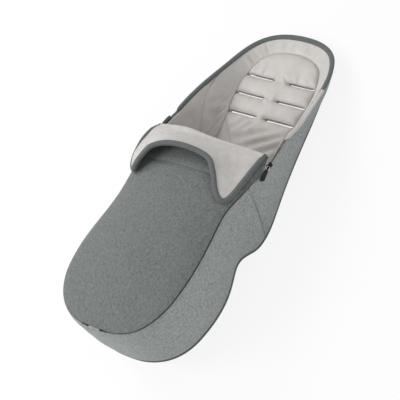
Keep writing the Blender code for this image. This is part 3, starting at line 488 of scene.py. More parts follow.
class HeightField:
    """Smoothed heights of CAD nodes over the plan, seen from above, 1, or from below, -1."""

    def __init__(self, nodes, side, step=0.005, rounds=3):
        shape = bmesh.new()
        for node in nodes:
            shape.from_mesh(CAD[node].data)
        tree = BVHTree.FromBMesh(shape)
        shape.free()
        corners = np.array([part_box(node) for node in nodes])
        self.low = corners[:, 0].min(0)[:2] - FIELD_MARGIN * step
        high = corners[:, 1].max(0)[:2] + FIELD_MARGIN * step
        self.step = step
        counts = np.ceil((high - self.low) / step).astype(int) + 1
        grid = np.full(counts, np.nan)
        for i in range(counts[0]):
            for j in range(counts[1]):
                x, y = self.low + (i * step, j * step)
                hit = tree.ray_cast(Vector((x, y, side)), Vector((0, 0, -side)))[0]
                if hit:
                    grid[i, j] = hit.z
        while np.isnan(grid).any():
            around = self.shifted(grid)
            known = ~np.isnan(around)
            total, number = np.where(known, around, 0).sum(0), known.sum(0)
            fill = np.isnan(grid) & (number > 0)
            grid[fill] = total[fill] / number[fill]
        for _ in range(rounds):
            grid = (grid + self.shifted(grid).mean(0)) / 2
        self.grid = grid

    @staticmethod
    def shifted(grid):
        """The four neighbours of each cell."""
        wide = np.pad(grid, 1, mode="edge")
        return np.stack((wide[2:, 1:-1], wide[:-2, 1:-1], wide[1:-1, 2:], wide[1:-1, :-2]))

    def __call__(self, x, y):
        place = (np.stack((x, y), -1) - self.low) / self.step
        place = np.clip(place, 0, np.array(self.grid.shape) - 1.001)
        cell = place.astype(int)
        u, v = (place - cell).T
        i, j = cell.T
        grid = self.grid
        near = grid[i, j] * (1 - u) + grid[i + 1, j] * u
        far = grid[i, j + 1] * (1 - u) + grid[i + 1, j + 1] * u
        return near * (1 - v) + far * v


def border_loops(node, facing):
    """The loops round the node's seen side, longest first, each smoothed but for its corners."""
    shape = cad_shape(node)
    side = set(seen_side(shape, facing))
    joined = {}
    for edge in shape.edges:
        if sum(face in side for face in edge.link_faces) == 1:
            a, b = edge.verts
            joined.setdefault(a.index, []).append(b.index)
            joined.setdefault(b.index, []).append(a.index)
    shape.verts.ensure_lookup_table()
    places = {i: np.array(shape.verts[i].co) for i in joined}
    shape.free()
    loops = []
    left = set(joined)
    while left:
        start = min(left)
        loop, at = [], start
        while at in left:
            left.discard(at)
            loop.append(at)
            at = next((k for k in joined[at] if k in left), at)
        if len(loop) > 2:
            loops.append(rounded(np.array([places[i] for i in loop])))
    return sorted(loops, key=lambda p: -np.linalg.norm(np.diff(p, axis=0), axis=1).sum())


def rounded(points, rounds=4):
    """A closed loop as the smooth line that subdivision makes of it."""
    ahead = unit(np.roll(points, -1, 0) - points)
    behind = unit(points - np.roll(points, 1, 0))
    fixed = (ahead * behind).sum(1) < math.cos(CORNER_TURN)
    for _ in range(rounds):
        middles = (points + np.roll(points, -1, 0)) / 2
        moved = (np.roll(points, 1, 0) + 6 * points + np.roll(points, -1, 0)) / 8
        moved[fixed] = points[fixed]
        points = np.stack((moved, middles), 1).reshape(-1, points.shape[1])
        fixed = np.stack((fixed, np.zeros(len(fixed), bool)), 1).ravel()
    return points


def inside_loop(loop, points):
    """Which points lie inside a closed loop, in plan."""
    a, b = loop[:, :2], np.roll(loop[:, :2], -1, 0)
    x, y = points[:, :1], points[:, 1:2]
    crosses = (a[:, 1] > y) != (b[:, 1] > y)
    slope = (b[:, 0] - a[:, 0]) / np.where(b[:, 1] == a[:, 1], SMALL, b[:, 1] - a[:, 1])
    return (crosses & (x < a[:, 0] + (y - a[:, 1]) * slope)).sum(1) % 2 == 1


def within(loop, holes, points):
    """Which points lie inside the loop and outside its holes, in plan."""
    inside = inside_loop(loop, points)
    for hole in holes:
        inside &= ~inside_loop(hole, points)
    return inside


class Slot:
    """A slot through the backrest: a stadium in plan, from the CAD node of its turned edge."""

    def __init__(self, node):
        self.node = node
        low, high = (np.array(c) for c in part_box(node))
        self.low, self.high = low, high
        self.y = (low[1] + high[1]) / 2
        self.radius = (high[1] - low[1]) / 2
        self.near, self.far = low[0] + self.radius, high[0] - self.radius

    def distance(self, x, y):
        return np.hypot(x - np.clip(x, self.near, self.far), y - self.y) - self.radius

    def loop(self, grow, spacing=0.0025):
        radius = self.radius + grow
        turns = np.linspace(-math.pi / 2, math.pi / 2, SLOT_TURN_POINTS)
        ends = [np.stack((np.cos(turns) * radius * s, np.sin(turns) * radius * s), 1) for s in (1, -1)]
        count = max(int((self.far - self.near) / spacing), 2)
        along = np.linspace(0, 1, count)[1:-1]
        upper = np.stack((self.far + (self.near - self.far) * along, np.full(count - 2, self.y + radius)), 1)
        lower = np.stack((self.near + (self.far - self.near) * along, np.full(count - 2, self.y - radius)), 1)
        return np.vstack((ends[0] + (self.far, self.y), upper, ends[1] + (self.near, self.y), lower))


def staggered(low, high, step, row_step):
    """Points in rows, every second row shifted by half a step."""
    xs, ys = np.arange(low[0], high[0], step), np.arange(low[1], high[1], row_step)
    return np.array([(x + step / 2 * (k % 2), y) for k, y in enumerate(ys) for x in xs])


def plan_mesh(name, loop, holes, spacing, top, bottom, fine=None):
    """A closed mesh over a loop in plan, open at the holes, between two height functions."""
    rings = [loop[:, :2], *holes]
    edges, points = [], []
    for ring in rings:
        first = len(points)
        points += [tuple(p) for p in ring]
        edges += [(first + i, first + (i + 1) % len(ring)) for i in range(len(ring))]
    low, high = loop[:, :2].min(0), loop[:, :2].max(0)
    grid = staggered(low, high, spacing, spacing * math.sqrt(3) / 2)
    if fine is not None:
        closer = staggered(low, high, spacing / 2, spacing / 2)
        grid = np.vstack((grid[~fine(grid)], closer[fine(closer)]))
    away, _ = plan_nearest(plan_tree(np.vstack(rings)), *grid.T)
    grid = grid[within(loop, holes, grid) & (away > spacing * BORDER_GAP)]
    points += [tuple(p) for p in grid]
    verts, _, faces, *_ = delaunay_2d_cdt([Vector(p) for p in points], edges, [], 0, SAME_PLACE)
    flat = np.array([tuple(v) for v in verts])
    faces = np.array(faces)
    faces = faces[within(loop, holes, flat[faces].mean(1))]
    a, b, c = flat[faces].transpose(1, 0, 2)
    turn = (b[:, 0] - a[:, 0]) * (c[:, 1] - a[:, 1]) - (b[:, 1] - a[:, 1]) * (c[:, 0] - a[:, 0])
    real = np.abs(turn) > NO_AREA
    faces, turn = faces[real], turn[real]
    faces[turn < 0] = faces[turn < 0][:, ::-1]
    used = np.unique(faces)
    number = np.full(len(flat), -1)
    number[used] = np.arange(len(used))
    flat, faces = flat[used], number[faces]
    count = len(flat)
    x, y = flat.T
    upper = top(x, y)
    lower = np.minimum(bottom(x, y), upper - THINNEST)
    places = np.vstack((np.column_stack((x, y, upper)), np.column_stack((x, y, lower))))
    half = dict.fromkeys((face[i], face[(i + 1) % 3]) for face in faces for i in range(3))
    walls = [(b, a, a + count, b + count) for a, b in half if (b, a) not in half]
    mesh = bpy.data.meshes.new(name)
    mesh.from_pydata(places.tolist(), [], faces.tolist() + (faces[:, ::-1] + count).tolist() + walls)
    mesh.validate()
    return mesh


def sunk(points):
    """The soft right wall of the seat sags a little between the zip and the head."""
    x, y, z = points.T
    share = ease((x - 0.07) / 0.06) * ease((z - 0.05) / 0.07) * ease((y - 0.13) / 0.08)
    share *= ease((0.45 - y) / 0.12)
    return points - (WALL_SAG * share)[:, None] * (0, 0, 1)


def finished(name, mesh, body, look, node, smooth=True):
    """A piece of the muff from its mesh: it rides on a body and stands for a CAD node."""
    if body == "shell":
        set_points(mesh, sunk(points_of(mesh)))
    mesh.update()
    mesh.materials.clear()
    mesh.materials.append(look[0])
    if smooth:
        mesh.shade_smooth()
    obj = link(name, mesh)
    if body:
        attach(obj, body)
    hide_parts(node)
    return obj


def along_edges(node, step=0.002):
    """Points all along the edges of a CAD node."""
    mesh = CAD[node].data
    rows = []
    for a, b in points_of(mesh)[edges_of(mesh)]:
        count = max(int(np.linalg.norm(b - a) / step), 1)
        rows.append(a + (b - a) * np.linspace(0, 1, count, endpoint=False)[:, None])
    return np.vstack(rows)


# Panels and waddings
ZIP_LINE = np.vstack([along_edges(f"zip_shell_half_{side}") for side in SIDES])
RIM_LINE = along_edges("rim_binding")
TO_ZIP = (Cloth.reach, ZIP_LINE, 0.0024, 0.008, 0.0060)
LINING_TO_ZIP = (Cloth.reach, ZIP_LINE, 0.0060, 0.012, 0.0130)
TO_RIM = (Cloth.reach, RIM_LINE, 0.0040, 0.010, 0.0045)
LINING_TO_RIM = (Cloth.reach, RIM_LINE, 0.0040, 0.012, 0.0045)
WADDING_EDGE = (Cloth.sink_near, np.vstack((ZIP_LINE, RIM_LINE)), 0.0080, 0.018)
PLEATS_CIRCLE = ((0, 0.300), 0.150)
# Creases low in the lining round the back panel, in plan, with their width and depth
SURROUND_CREASES = (
    ((-0.102, 0.208), (-0.126, 0.146), 0.0045, 0.0072),
    ((-0.108, 0.230), (-0.136, 0.172), 0.0045, 0.0064),
    ((-0.096, 0.184), (-0.116, 0.128), 0.0045, 0.0064),
    ((-0.116, 0.252), (-0.142, 0.200), 0.0040, 0.0048),
    ((0.100, 0.190), (0.124, 0.150), 0.0050, 0.0024),
    ((-0.120, 0.376), (-0.146, 0.398), 0.0040, 0.0016),
)
# Node, piece, body, side seen, levels, look and steps
SHELL_PANELS = (
    ("leg_gusset", "gusset_cloth", "shell", 1, 3, OUTER, TO_ZIP, (Cloth.pad, 0.0018, 0.010, 0.0016),
     (Cloth.ridge, ZIP_LINE, 0.0120, 0.0026, 0.0020), (Cloth.ripple, 0.0016, 0.055, 1),
     (Cloth.ripple, 0.0008, 0.022, 2)),
    *((f"side_panel_{side}", f"side_cloth_{side}", "shell", 1, 3, OUTER, TO_ZIP, TO_RIM,
       (Cloth.pad, 0.0018, 0.010, 0.0018), (Cloth.ripple, 0.0016, 0.060, 3),
       (Cloth.ripple, 0.0007, 0.024, 4)) for side in SIDES),
    ("leg_back_panel", "leg_back_cloth", "shell", 1, 3, OUTER, (Cloth.pad, 0.0012, 0.014, 0.0008),
     (Cloth.ripple, 0.0014, 0.070, 5)),
    ("gusset_wadding", "gusset_wadding_fill", "shell", 1, 1, WADDING),
    *((f"side_wadding_{side}", f"side_wadding_{side}_fill", "shell", 1, 1, WADDING, WADDING_EDGE)
      for side in SIDES),
    ("leg_back_wadding", "leg_back_wadding_fill", "shell", 1, 1, WADDING),
    ("cover_wadding", "cover_wadding_fill", "cover", 1, 1, WADDING),
    ("foot_bag_wall_lining", "foot_bag_wall_cloth", "shell", -1, 3, FLEECE,
     (Cloth.reach, ZIP_LINE, 0.0058, 0.012, 0.0120), (Cloth.pad, 0.0018, 0.020, 0.0004),
     (Cloth.ripple, 0.0022, 0.045, 6)),
    *((f"side_lining_{side}", f"side_lining_cloth_{side}", "shell", -1, 3, LINING, LINING_TO_ZIP,
       LINING_TO_RIM, (Cloth.pad, 0.0024, 0.018, 0.0006), (Cloth.ripple, 0.0030, 0.050, 7),
       (Cloth.ripple, 0.0016, 0.018, 8, (1, 0.5, 1))) for side in SIDES),
    ("lining_surround", "surround_cloth", "shell", -1, 3, LINING, (Cloth.relax, 14, 0.010), LINING_TO_RIM,
     (Cloth.pad, 0.0050, 0.022, 0.0012), (Cloth.ripple, 0.0022, 0.050, 9),
     (Cloth.pleats, *PLEATS_CIRCLE, 0.0080, 0.0013, 4), (Cloth.pleats, *PLEATS_CIRCLE, 0.019, 0.0018, 9),
     (Cloth.creased, SURROUND_CREASES)),
)
COVER_PANELS = (
    *((node, name, "cover", 1, 3, COVER, TO_ZIP, (Cloth.pad, 0.0022, 0.022, 0.0010),
       (Cloth.ripple, 0.0020, 0.090, 11), (Cloth.ripple, 0.0008, 0.030, 12))
      for node, name in (("cover_front_panel", "cover_cloth"), ("cover_yoke", "cover_yoke_cloth"))),
    ("cover_lining", "cover_lining_cloth", "cover", -1, 3, FLEECE, (Cloth.pad, 0.0012, 0.020, 0.0004),
     (Cloth.ripple, 0.0018, 0.060, 13)),
)


# Backrest
SLOTS = [Slot(f"slot_facing_{row}_{side}") for row in ("low", "middle", "top") for side in SIDES]
CROTCH_SLOT = Slot("crotch_slot_facing")
EVERY_SLOT = (*SLOTS, CROTCH_SLOT)
ROWS = [(SLOTS[i].y, SLOTS[i].low[0], SLOTS[i].high[0]) for i in (0, 2, 4)]
PAD_CROWN = 0.0130
PAD_ROUND = 0.030
ROW_ROUND = 0.025
ROW_PINCH = 0.0088
PAD_THICK = 0.0020
SLOT_LIFT = 0.0095
EDGE_RUN = 0.014
PAD_EDGE = 0.016
FINE_REACH = 0.012
LINING_THICK = 0.0016
BACK_THICK = 0.0020
FILL_BASE = 0.0024
CROTCH_PULL = 0.0035
# Creases of the seat lining, in plan, with their width and depth
CREASES = (
    ((0.080, 0.207), (-0.044, 0.142), 0.0080, 0.0092),
    ((0.102, 0.190), (0.000, 0.130), 0.0070, 0.0084),
    ((0.016, 0.214), (-0.030, 0.176), 0.0042, 0.0036),
    ((-0.022, 0.216), (-0.066, 0.158), 0.0060, 0.0058),
    ((0.096, 0.156), (0.030, 0.108), 0.0070, 0.0056),
    ((-0.098, 0.196), (-0.036, 0.116), 0.0065, 0.0060),
    ((0.060, 0.208), (0.022, 0.192), 0.0034, 0.0020),
    ((-0.060, 0.328), (-0.052, 0.352), 0.0045, 0.0022),
    ((0.052, 0.330), (0.044, 0.356), 0.0045, 0.0022),
    ((-0.060, 0.262), (-0.090, 0.240), 0.0060, 0.0022),
    ((0.060, 0.262), (0.034, 0.238), 0.0060, 0.0020),
    ((0.022, 0.268), (0.000, 0.248), 0.0036, 0.0034),
    ((-0.022, 0.269), (-0.004, 0.250), 0.0036, 0.0034),
    ((0.026, 0.326), (0.002, 0.342), 0.0036, 0.0034),
    ((-0.026, 0.326), (-0.006, 0.346), 0.0036, 0.0034),
    ((0.018, 0.300), (-0.014, 0.276), 0.0040, 0.0016),
    ((0.086, 0.330), (0.070, 0.352), 0.0045, 0.0016),
    ((-0.086, 0.330), (-0.070, 0.352), 0.0045, 0.0016),
)


def crease(x, y, start, end, width, depth):
    """The height of one crease: a valley with a low ridge beside it, fading at both ends."""
    a, b = np.array(start), np.array(end)
    length = np.linalg.norm(b - a)
    run = (b - a) / length
    along = ((x - a[0]) * run[0] + (y - a[1]) * run[1]) / length
    across = (-(x - a[0]) * run[1] + (y - a[1]) * run[0]) / width
    fade = np.sin(math.pi * np.clip(along, 0, 1)) ** 0.8
    return depth * fade * (0.55 * bell((across - 1.9) / 1.3) - bell(across))


def waves(x, y, size, seed):
    return noise_at(np.column_stack((x / size, y / size, np.full(len(x), seed))))


def row_pinch(x, y):
    """How much each row of slots pulls the pad in: 1 along a slot, 0 between the rows and on the spine."""
    total = np.zeros_like(x)
    for place, near, far in ROWS:
        across = 1 - dome(np.abs(y - place) / ROW_ROUND)
        along = ease((np.abs(x) - near + 0.012) / 0.018) * ease((far + 0.016 - np.abs(x)) / 0.016)
        total = np.maximum(total, across * (0.22 + 0.78 * along))
    return total


def drawn_to(field, loop):
    """The height field, drawn to the heights of a loop near it. It gives the distance from the loop too."""
    tree = plan_tree(loop)
    rise = loop[:, 2] - field(loop[:, 0], loop[:, 1])

    def height(x, y):
        away, index = plan_nearest(tree, x, y)
        return field(x, y) + rise[index] * ease(1 - away / EDGE_RUN), away

    return height


def make_backrest():
    """The centre panel, its wadding, the outer back and the foot bag's floor, all open at the slots."""
    made = []

    def add(node, name, look, *shape):
        made.append(finished(name, plan_mesh(name, *shape), "shell", look, node))

    base = HeightField(["backrest_centre_panel"], -1)
    loop = border_loops("backrest_centre_panel", -1)[0]
    seam = plan_tree(loop)

    def pad_top(x, y):
        depth = plan_nearest(seam, x, y)[0]
        pinch = row_pinch(x, y)
        crown = PAD_CROWN * dome(depth / PAD_ROUND) * (1 - pinch) - ROW_PINCH * pinch ** 1.5
        folds = sum(crease(x, y, *c) for c in CREASES)
        soft = 0.0016 * waves(x, y, 0.034, 3) + 0.0007 * waves(x, y, 0.013, 5)
        return base(x, y) + PAD_THICK * 0.3 + crown + (folds + soft) * ease(depth / PAD_EDGE)

    def near_slots(points):
        return np.min([s.distance(points[:, 0], points[:, 1]) for s in SLOTS], 0) < FINE_REACH

    add("backrest_centre_panel", "backrest_centre_cloth", LINING, loop, [s.loop(0.0012) for s in SLOTS],
        0.005, pad_top, lambda x, y: pad_top(x, y) - PAD_THICK, near_slots)

    back_loop = border_loops("backrest_back_panel", 1)[0]
    back_height = drawn_to(HeightField(["backrest_back_panel"], -1, 0.006), back_loop)

    def back_bottom(x, y):
        height, away = back_height(x, y)
        slot = np.min([s.distance(x, y) for s in EVERY_SLOT], 0)
        rise = SLOT_LIFT * bell(np.maximum(slot, 0) / 0.011)
        return np.maximum(height + rise + 0.0005 * waves(x, y, 0.05, 8) * ease(away / 0.02), FLOOR)

    add("backrest_back_panel", "backrest_back_cloth", OUTER, back_loop,
        [s.loop(0.0008) for s in EVERY_SLOT], 0.007, lambda x, y: back_bottom(x, y) + BACK_THICK, back_bottom)

    upper = HeightField(["backrest_wadding"], 1, 0.006)

    def fill_top(x, y):
        inner = inside_loop(loop, np.column_stack((x, y)))
        under_pad = pad_top(x, y) - PAD_THICK - 0.0004
        return np.where(inner, np.minimum(upper(x, y) + PAD_CROWN, under_pad), upper(x, y))

    add("backrest_wadding", "backrest_fill", WADDING, border_loops("backrest_wadding", -1)[0],
        [s.loop(0.0014) for s in EVERY_SLOT], 0.008, fill_top, lambda x, y: back_bottom(x, y) + FILL_BASE)

    floor_loop = border_loops("foot_bag_back_lining", -1)[0]
    floor_height = drawn_to(HeightField(["foot_bag_back_lining"], 1, 0.006), floor_loop)

    def lining_top(x, y):
        height, away = floor_height(x, y)
        pull = -CROTCH_PULL * bell(np.maximum(CROTCH_SLOT.distance(x, y), 0) / 0.012)
        return height + (0.0014 * waves(x, y, 0.05, 11) + pull) * ease(away / 0.02)

    add("foot_bag_back_lining", "foot_bag_back_cloth", FLEECE, floor_loop, [CROTCH_SLOT.loop(0.0012)], 0.007,
        lining_top, lambda x, y: lining_top(x, y) - LINING_THICK)

    made += [slot_edge(slot, pad_top, back_bottom) for slot in SLOTS]
    made.append(slot_edge(CROTCH_SLOT, lining_top, back_bottom))
    return made


# Offset and height of each loop of a slot's lip, and of the sleeve under it
LIP_PROFILE = (
    (-0.0002, -0.0002), (-0.0003, 0.0004), (0.0001, 0.0010), (0.0008, 0.0012), (0.0015, 0.0009),
    (0.0019, 0.0003), (0.0016, -0.0005), (0.0006, -0.0009),
)
SLEEVE_PROFILE = ((0.0010, 0.0006), (0.0010, -0.0003), (-0.0002, -0.0003))


def slot_edge(slot, top, bottom):
    """The turned edge of a slot: a rolled lip on the lining, and a sleeve through to the back."""
    rings = []
    for profile, surface in ((LIP_PROFILE, top), (SLEEVE_PROFILE, bottom)):
        for offset, height in profile:
            loop = slot.loop(offset)
            rings.append(np.column_stack((loop, surface(*loop.T) + height)))
    rings = np.array(rings)
    rings[..., 2] = np.maximum(rings[..., 2], FLOOR)
    name = slot.node + "_lip"
    return finished(name, ring_mesh(name, rings), "shell", LINING, slot.node)


def solid_mesh(name, places, faces):
    """A closed mesh, turned the right way out."""
    mesh = bpy.data.meshes.new(name)
    mesh.from_pydata(places.tolist(), [], faces)
    shape = bmesh.new()
    shape.from_mesh(mesh)
    bmesh.ops.recalc_face_normals(shape, faces=shape.faces)
    if shape.calc_volume(signed=True) < 0:
        bmesh.ops.reverse_faces(shape, faces=shape.faces)
    shape.to_mesh(mesh)
    shape.free()
    return mesh


def ring_mesh(name, rings, capped=False):
    """A mesh through loops of points: closed at both ends, or with the last loop joined to the first one."""
    sections, count = rings.shape[:2]
    faces = []
    if capped:
        faces = [tuple(range(count))[::-1], tuple(range((sections - 1) * count, sections * count))]
    for i in range(sections - capped):
        k = (i + 1) % sections
        for j in range(count):
            m = (j + 1) % count
            faces.append((i * count + j, i * count + m, k * count + m, k * count + j))
    return solid_mesh(name, rings.reshape(-1, 3), faces)


# Cuff: its free edge as shares of its half width and its drop, from the middle of the arch to the fold
FOLD_Y = 0.07849
CUFF_HALF_WIDTH = 0.1640
CUFF_DROP = 0.1485
ARCH_LINE = (
    (0.000, 0.405), (0.140, 0.412), (0.270, 0.436), (0.390, 0.486), (0.490, 0.570), (0.580, 0.690),
    (0.660, 0.850), (0.730, 0.965), (0.800, 1.030),
)
EAR_LINE = (
    (0.865, 1.028), (0.918, 0.955), (0.944, 0.830), (0.960, 0.620), (0.976, 0.380), (0.990, 0.180),
    (1.000, 0.000),
)
CUFF_THICK = 0.0100
CUFF_CLOTH = 0.0022
CUFF_UNDER = 0.0020
CUFF_EDGE = 0.0024
CUFF_GAP = 0.0005
CUFF_LIFT = 0.0040
CUFF_LIFT_RUN = 0.0200
ARCH_LIFT = 0.0280
ARCH_LIFT_HALF = 0.86
ROLL_DEPTH = (0.0032, 0.0108)
ROLL_STEPS = 12
CUFF_COLUMNS = 60
CUFF_ROWS = 26
BINDING_INSET = 0.0056
BINDING_HALF = (0.0066, 0.0058)
BINDING_TURN = 14
BINDING_STEPS = 320
EDGE_STEPS = 260
CUFF_TUCK = (0.0045, 0, -0.0010)
COVER_TOP = HeightField(["cover_front_panel", "cover_yoke"], 1, 0.005, 4)


def spline(knots, count):
    """A smooth line through the knots, evenly spaced."""
    knots = np.array(knots, float)
    line = np.vstack((2 * knots[0] - knots[1], knots, 2 * knots[-1] - knots[-2]))
    points = []
    for i in range(1, len(line) - 2):
        a, b, c, d = line[i - 1 : i + 3]
        for t in np.linspace(0, 1, 12, endpoint=False):
            points.append(b + 0.5 * t * (c - a + t * (2 * a - 5 * b + 4 * c - d + t * (3 * (b - c) + d - a))))
    points.append(line[-2])
    return spaced(np.array(points), count)


def spaced(points, count):
    run = np.concatenate(([0], np.cumsum(np.linalg.norm(np.diff(points, axis=0), axis=1))))
    at = np.linspace(0, run[-1], count)
    return np.stack([np.interp(at, run, points[:, k]) for k in range(points.shape[1])], 1)


def cuff_edges(inset):
    """The right half of the cuff's free edge in plan: the arch, and the side from the ear to the fold."""
    scale = np.array((CUFF_HALF_WIDTH, -CUFF_DROP))
    mirrored = [(-x, y) for x, y in ARCH_LINE[:0:-1]]
    line = spline([*mirrored, *ARCH_LINE, *EAR_LINE], 400) * scale + (0, FOLD_Y)
    run = unit(np.gradient(line, axis=0))
    line = line + np.column_stack((run[:, 1], -run[:, 0])) * -inset
    line = line[line[:, 0] >= 0]
    corner = int(np.argmin(line[:, 1]))
    arch = np.vstack(((0, line[0, 1]), line[: corner + 1]))
    side = line[corner:]
    side = np.vstack((side[side[:, 1] < FOLD_Y], (side[-1, 0], FOLD_Y)))
    return arch, side


def settled(points):
    """The cuff as it lies: the arch bulges to one side, and one ear bows outwards."""
    x, y = points[..., 0], points[..., 1]
    run = np.clip((FOLD_Y - y) / CUFF_DROP, 0, 1)
    inner = 0.0065 * bell((x - 0.104) / 0.034) + 0.0150 * bell((x + 0.092) / 0.044)
    bow = 0.0200 * ease((-x - 0.095) / 0.065) * np.sin(math.pi * np.clip(run, 0.001, 0.999)) ** 0.5
    bulge = 0.0130 * bell((x + 0.052) / 0.062) * ease(run / 0.42)
    sag = 0.0010 * ease((-x - 0.120) / 0.045) * ease(run / 0.4)
    moved = points + 0
    short = ease((-x - 0.075) / 0.05) * ease((run - 0.55) / 0.45)
    moved[..., 0] -= inner * ease(run / 0.35) + bow - 0.0050 * short
    moved[..., 1] += 0.0100 * short
    moved[..., 2] += bulge - sag
    return moved


def cuff_base(x, y):
    """Height of the cuff's underside, which stands off the cover at the arch."""
    across = np.clip(np.abs(x) / CUFF_HALF_WIDTH / ARCH_LIFT_HALF, 0, 1)
    forward = np.clip((FOLD_Y - y) / (CUFF_DROP * ARCH_LINE[0][1]), 0, 1.4)
    arch = ARCH_LIFT * (1 - across ** 2) ** 1.5 * forward ** 1.6
    lift = CUFF_GAP + CUFF_LIFT * ease((FOLD_Y - y) / CUFF_LIFT_RUN)
    return COVER_TOP(x, np.minimum(y, FOLD_Y)) + lift + arch


def cuff_grid(inset):
    """Rows of plan points from the fold to the free edge, across the whole cuff."""
    arch, side = cuff_edges(inset)
    top = spaced(arch, CUFF_COLUMNS + 1)
    right = spaced(side[::-1], CUFF_ROWS + 1)
    u = np.linspace(0, 1, CUFF_COLUMNS + 1)[None, :, None]
    v = np.linspace(0, 1, CUFF_ROWS + 1)[:, None, None]
    fold = np.column_stack((u[0, :, 0] * right[0, 0], np.full(CUFF_COLUMNS + 1, FOLD_Y)))
    left = fold[0] + (top[0] - fold[0]) * v[:, 0]
    half = (
        (1 - v) * fold[None] + v * top[None] + (1 - u) * left[:, None] + u * right[:, None]
        - (1 - v) * ((1 - u) * fold[0] + u * fold[-1]) - v * ((1 - u) * top[0] + u * top[-1])
    )
    return np.concatenate((half[:, :0:-1] * (-1, 1), half), 1)


def raised(grid, height):
    """The grid's points this high over the cuff's base."""
    x, y = grid.reshape(-1, 2).T
    z = cuff_base(x, y) + np.broadcast_to(height, grid.shape[:2]).ravel()
    return np.column_stack((x, y, z)).reshape(*grid.shape[:2], 3)


def roll(line, thickness):
    """Rows round the fold, from the cover's lining up to the cuff's top, under a surface this deep."""
    x = line[:, 0]
    depth = ROLL_DEPTH[0] + ROLL_DEPTH[1] * bell((x + 0.085) / 0.078)
    middle = COVER_TOP(x, np.full(len(x), FOLD_Y)) + CUFF_GAP / 2
    rows = []
    for angle in np.linspace(-math.pi / 2, math.pi / 2, ROLL_STEPS, endpoint=False):
        rise = (CUFF_THICK + CUFF_GAP / 2 - thickness) * math.sin(angle)
        reach = (depth - thickness) * math.cos(angle)
        rows.append(np.column_stack((x, FOLD_Y + reach, middle + rise)))
    return np.array(rows)


def sheet_mesh(name, outer, inner):
    """The closed mesh between two grids of points."""
    rows, columns = outer.shape[:2]
    shift = rows * columns
    faces = []
    for i in range(rows - 1):
        for j in range(columns - 1):
            a, b = i * columns + j, (i + 1) * columns + j
            faces += [(a, a + 1, b + 1, b), (shift + a, shift + b, shift + b + 1, shift + a + 1)]
    rim = [i * columns for i in range(rows)]
    rim += [(rows - 1) * columns + j for j in range(1, columns)]
    rim += [i * columns + columns - 1 for i in range(rows - 2, -1, -1)]
    rim += list(range(columns - 2, 0, -1))
    faces += [(a, b, b + shift, a + shift) for a, b in zip(rim, rim[1:] + rim[:1])]
    return solid_mesh(name, np.vstack((outer.reshape(-1, 3), inner.reshape(-1, 3))), faces)


def make_cuff():
    """The fleece and its strip round the fold, the grey face beneath, the fill and the binding."""
    grid = cuff_grid(BINDING_INSET + CUFF_EDGE)
    arch, side = cuff_edges(BINDING_INSET + CUFF_EDGE)
    edge = plan_tree(np.vstack((arch, side, arch * (-1, 1), side * (-1, 1))))
    x, y = grid.reshape(-1, 2).T
    depth = plan_nearest(edge, x, y)[0].reshape(grid.shape[:2])
    soft = (0.0016 * waves(x, y, 0.075, 14) + 0.0006 * waves(x, y, 0.028, 15)).reshape(grid.shape[:2])
    swell = 0.0034 * dome(depth / 0.026) - 0.0022
    top = CUFF_THICK + (swell + soft) * ease((FOLD_Y - grid[..., 1]) / 0.016)
    outer = np.concatenate((roll(grid[0], 0), raised(grid, top)))
    inner = np.concatenate((roll(grid[0], CUFF_CLOTH), raised(grid, top - CUFF_CLOTH)))
    fill_top = raised(grid, top - 0.0026)
    fill_base = np.minimum(raised(grid, CUFF_UNDER + 0.0003), fill_top - (0, 0, 0.0008))
    layers = (
        ("cuff_roll_cloth", None, FLEECE, "cuff_fleece", outer[: ROLL_STEPS + 1], inner[: ROLL_STEPS + 1]),
        ("cuff_fleece_cloth", "cuff", FLEECE, "cuff_fleece", outer[ROLL_STEPS:], inner[ROLL_STEPS:]),
        ("cuff_under_cloth", "cuff", COVER, "cuff_under_panel", raised(grid, CUFF_UNDER), raised(grid, 0)),
        ("cuff_fill", "cuff", WADDING, "cuff_wadding", fill_top, fill_base),
    )
    pieces = []
    for name, body, look, node, *faces in layers:
        pieces.append(finished(name, sheet_mesh(name, *map(settled, faces)), body, look, node))
    finished("cuff_binding_tape", cuff_binding(), "cuff", TRIM, "cuff_binding")
    for piece in pieces[:2]:
        piece.data.set_sharp_from_angle(angle=math.radians(60))
    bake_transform(pieces[0])
    return pieces


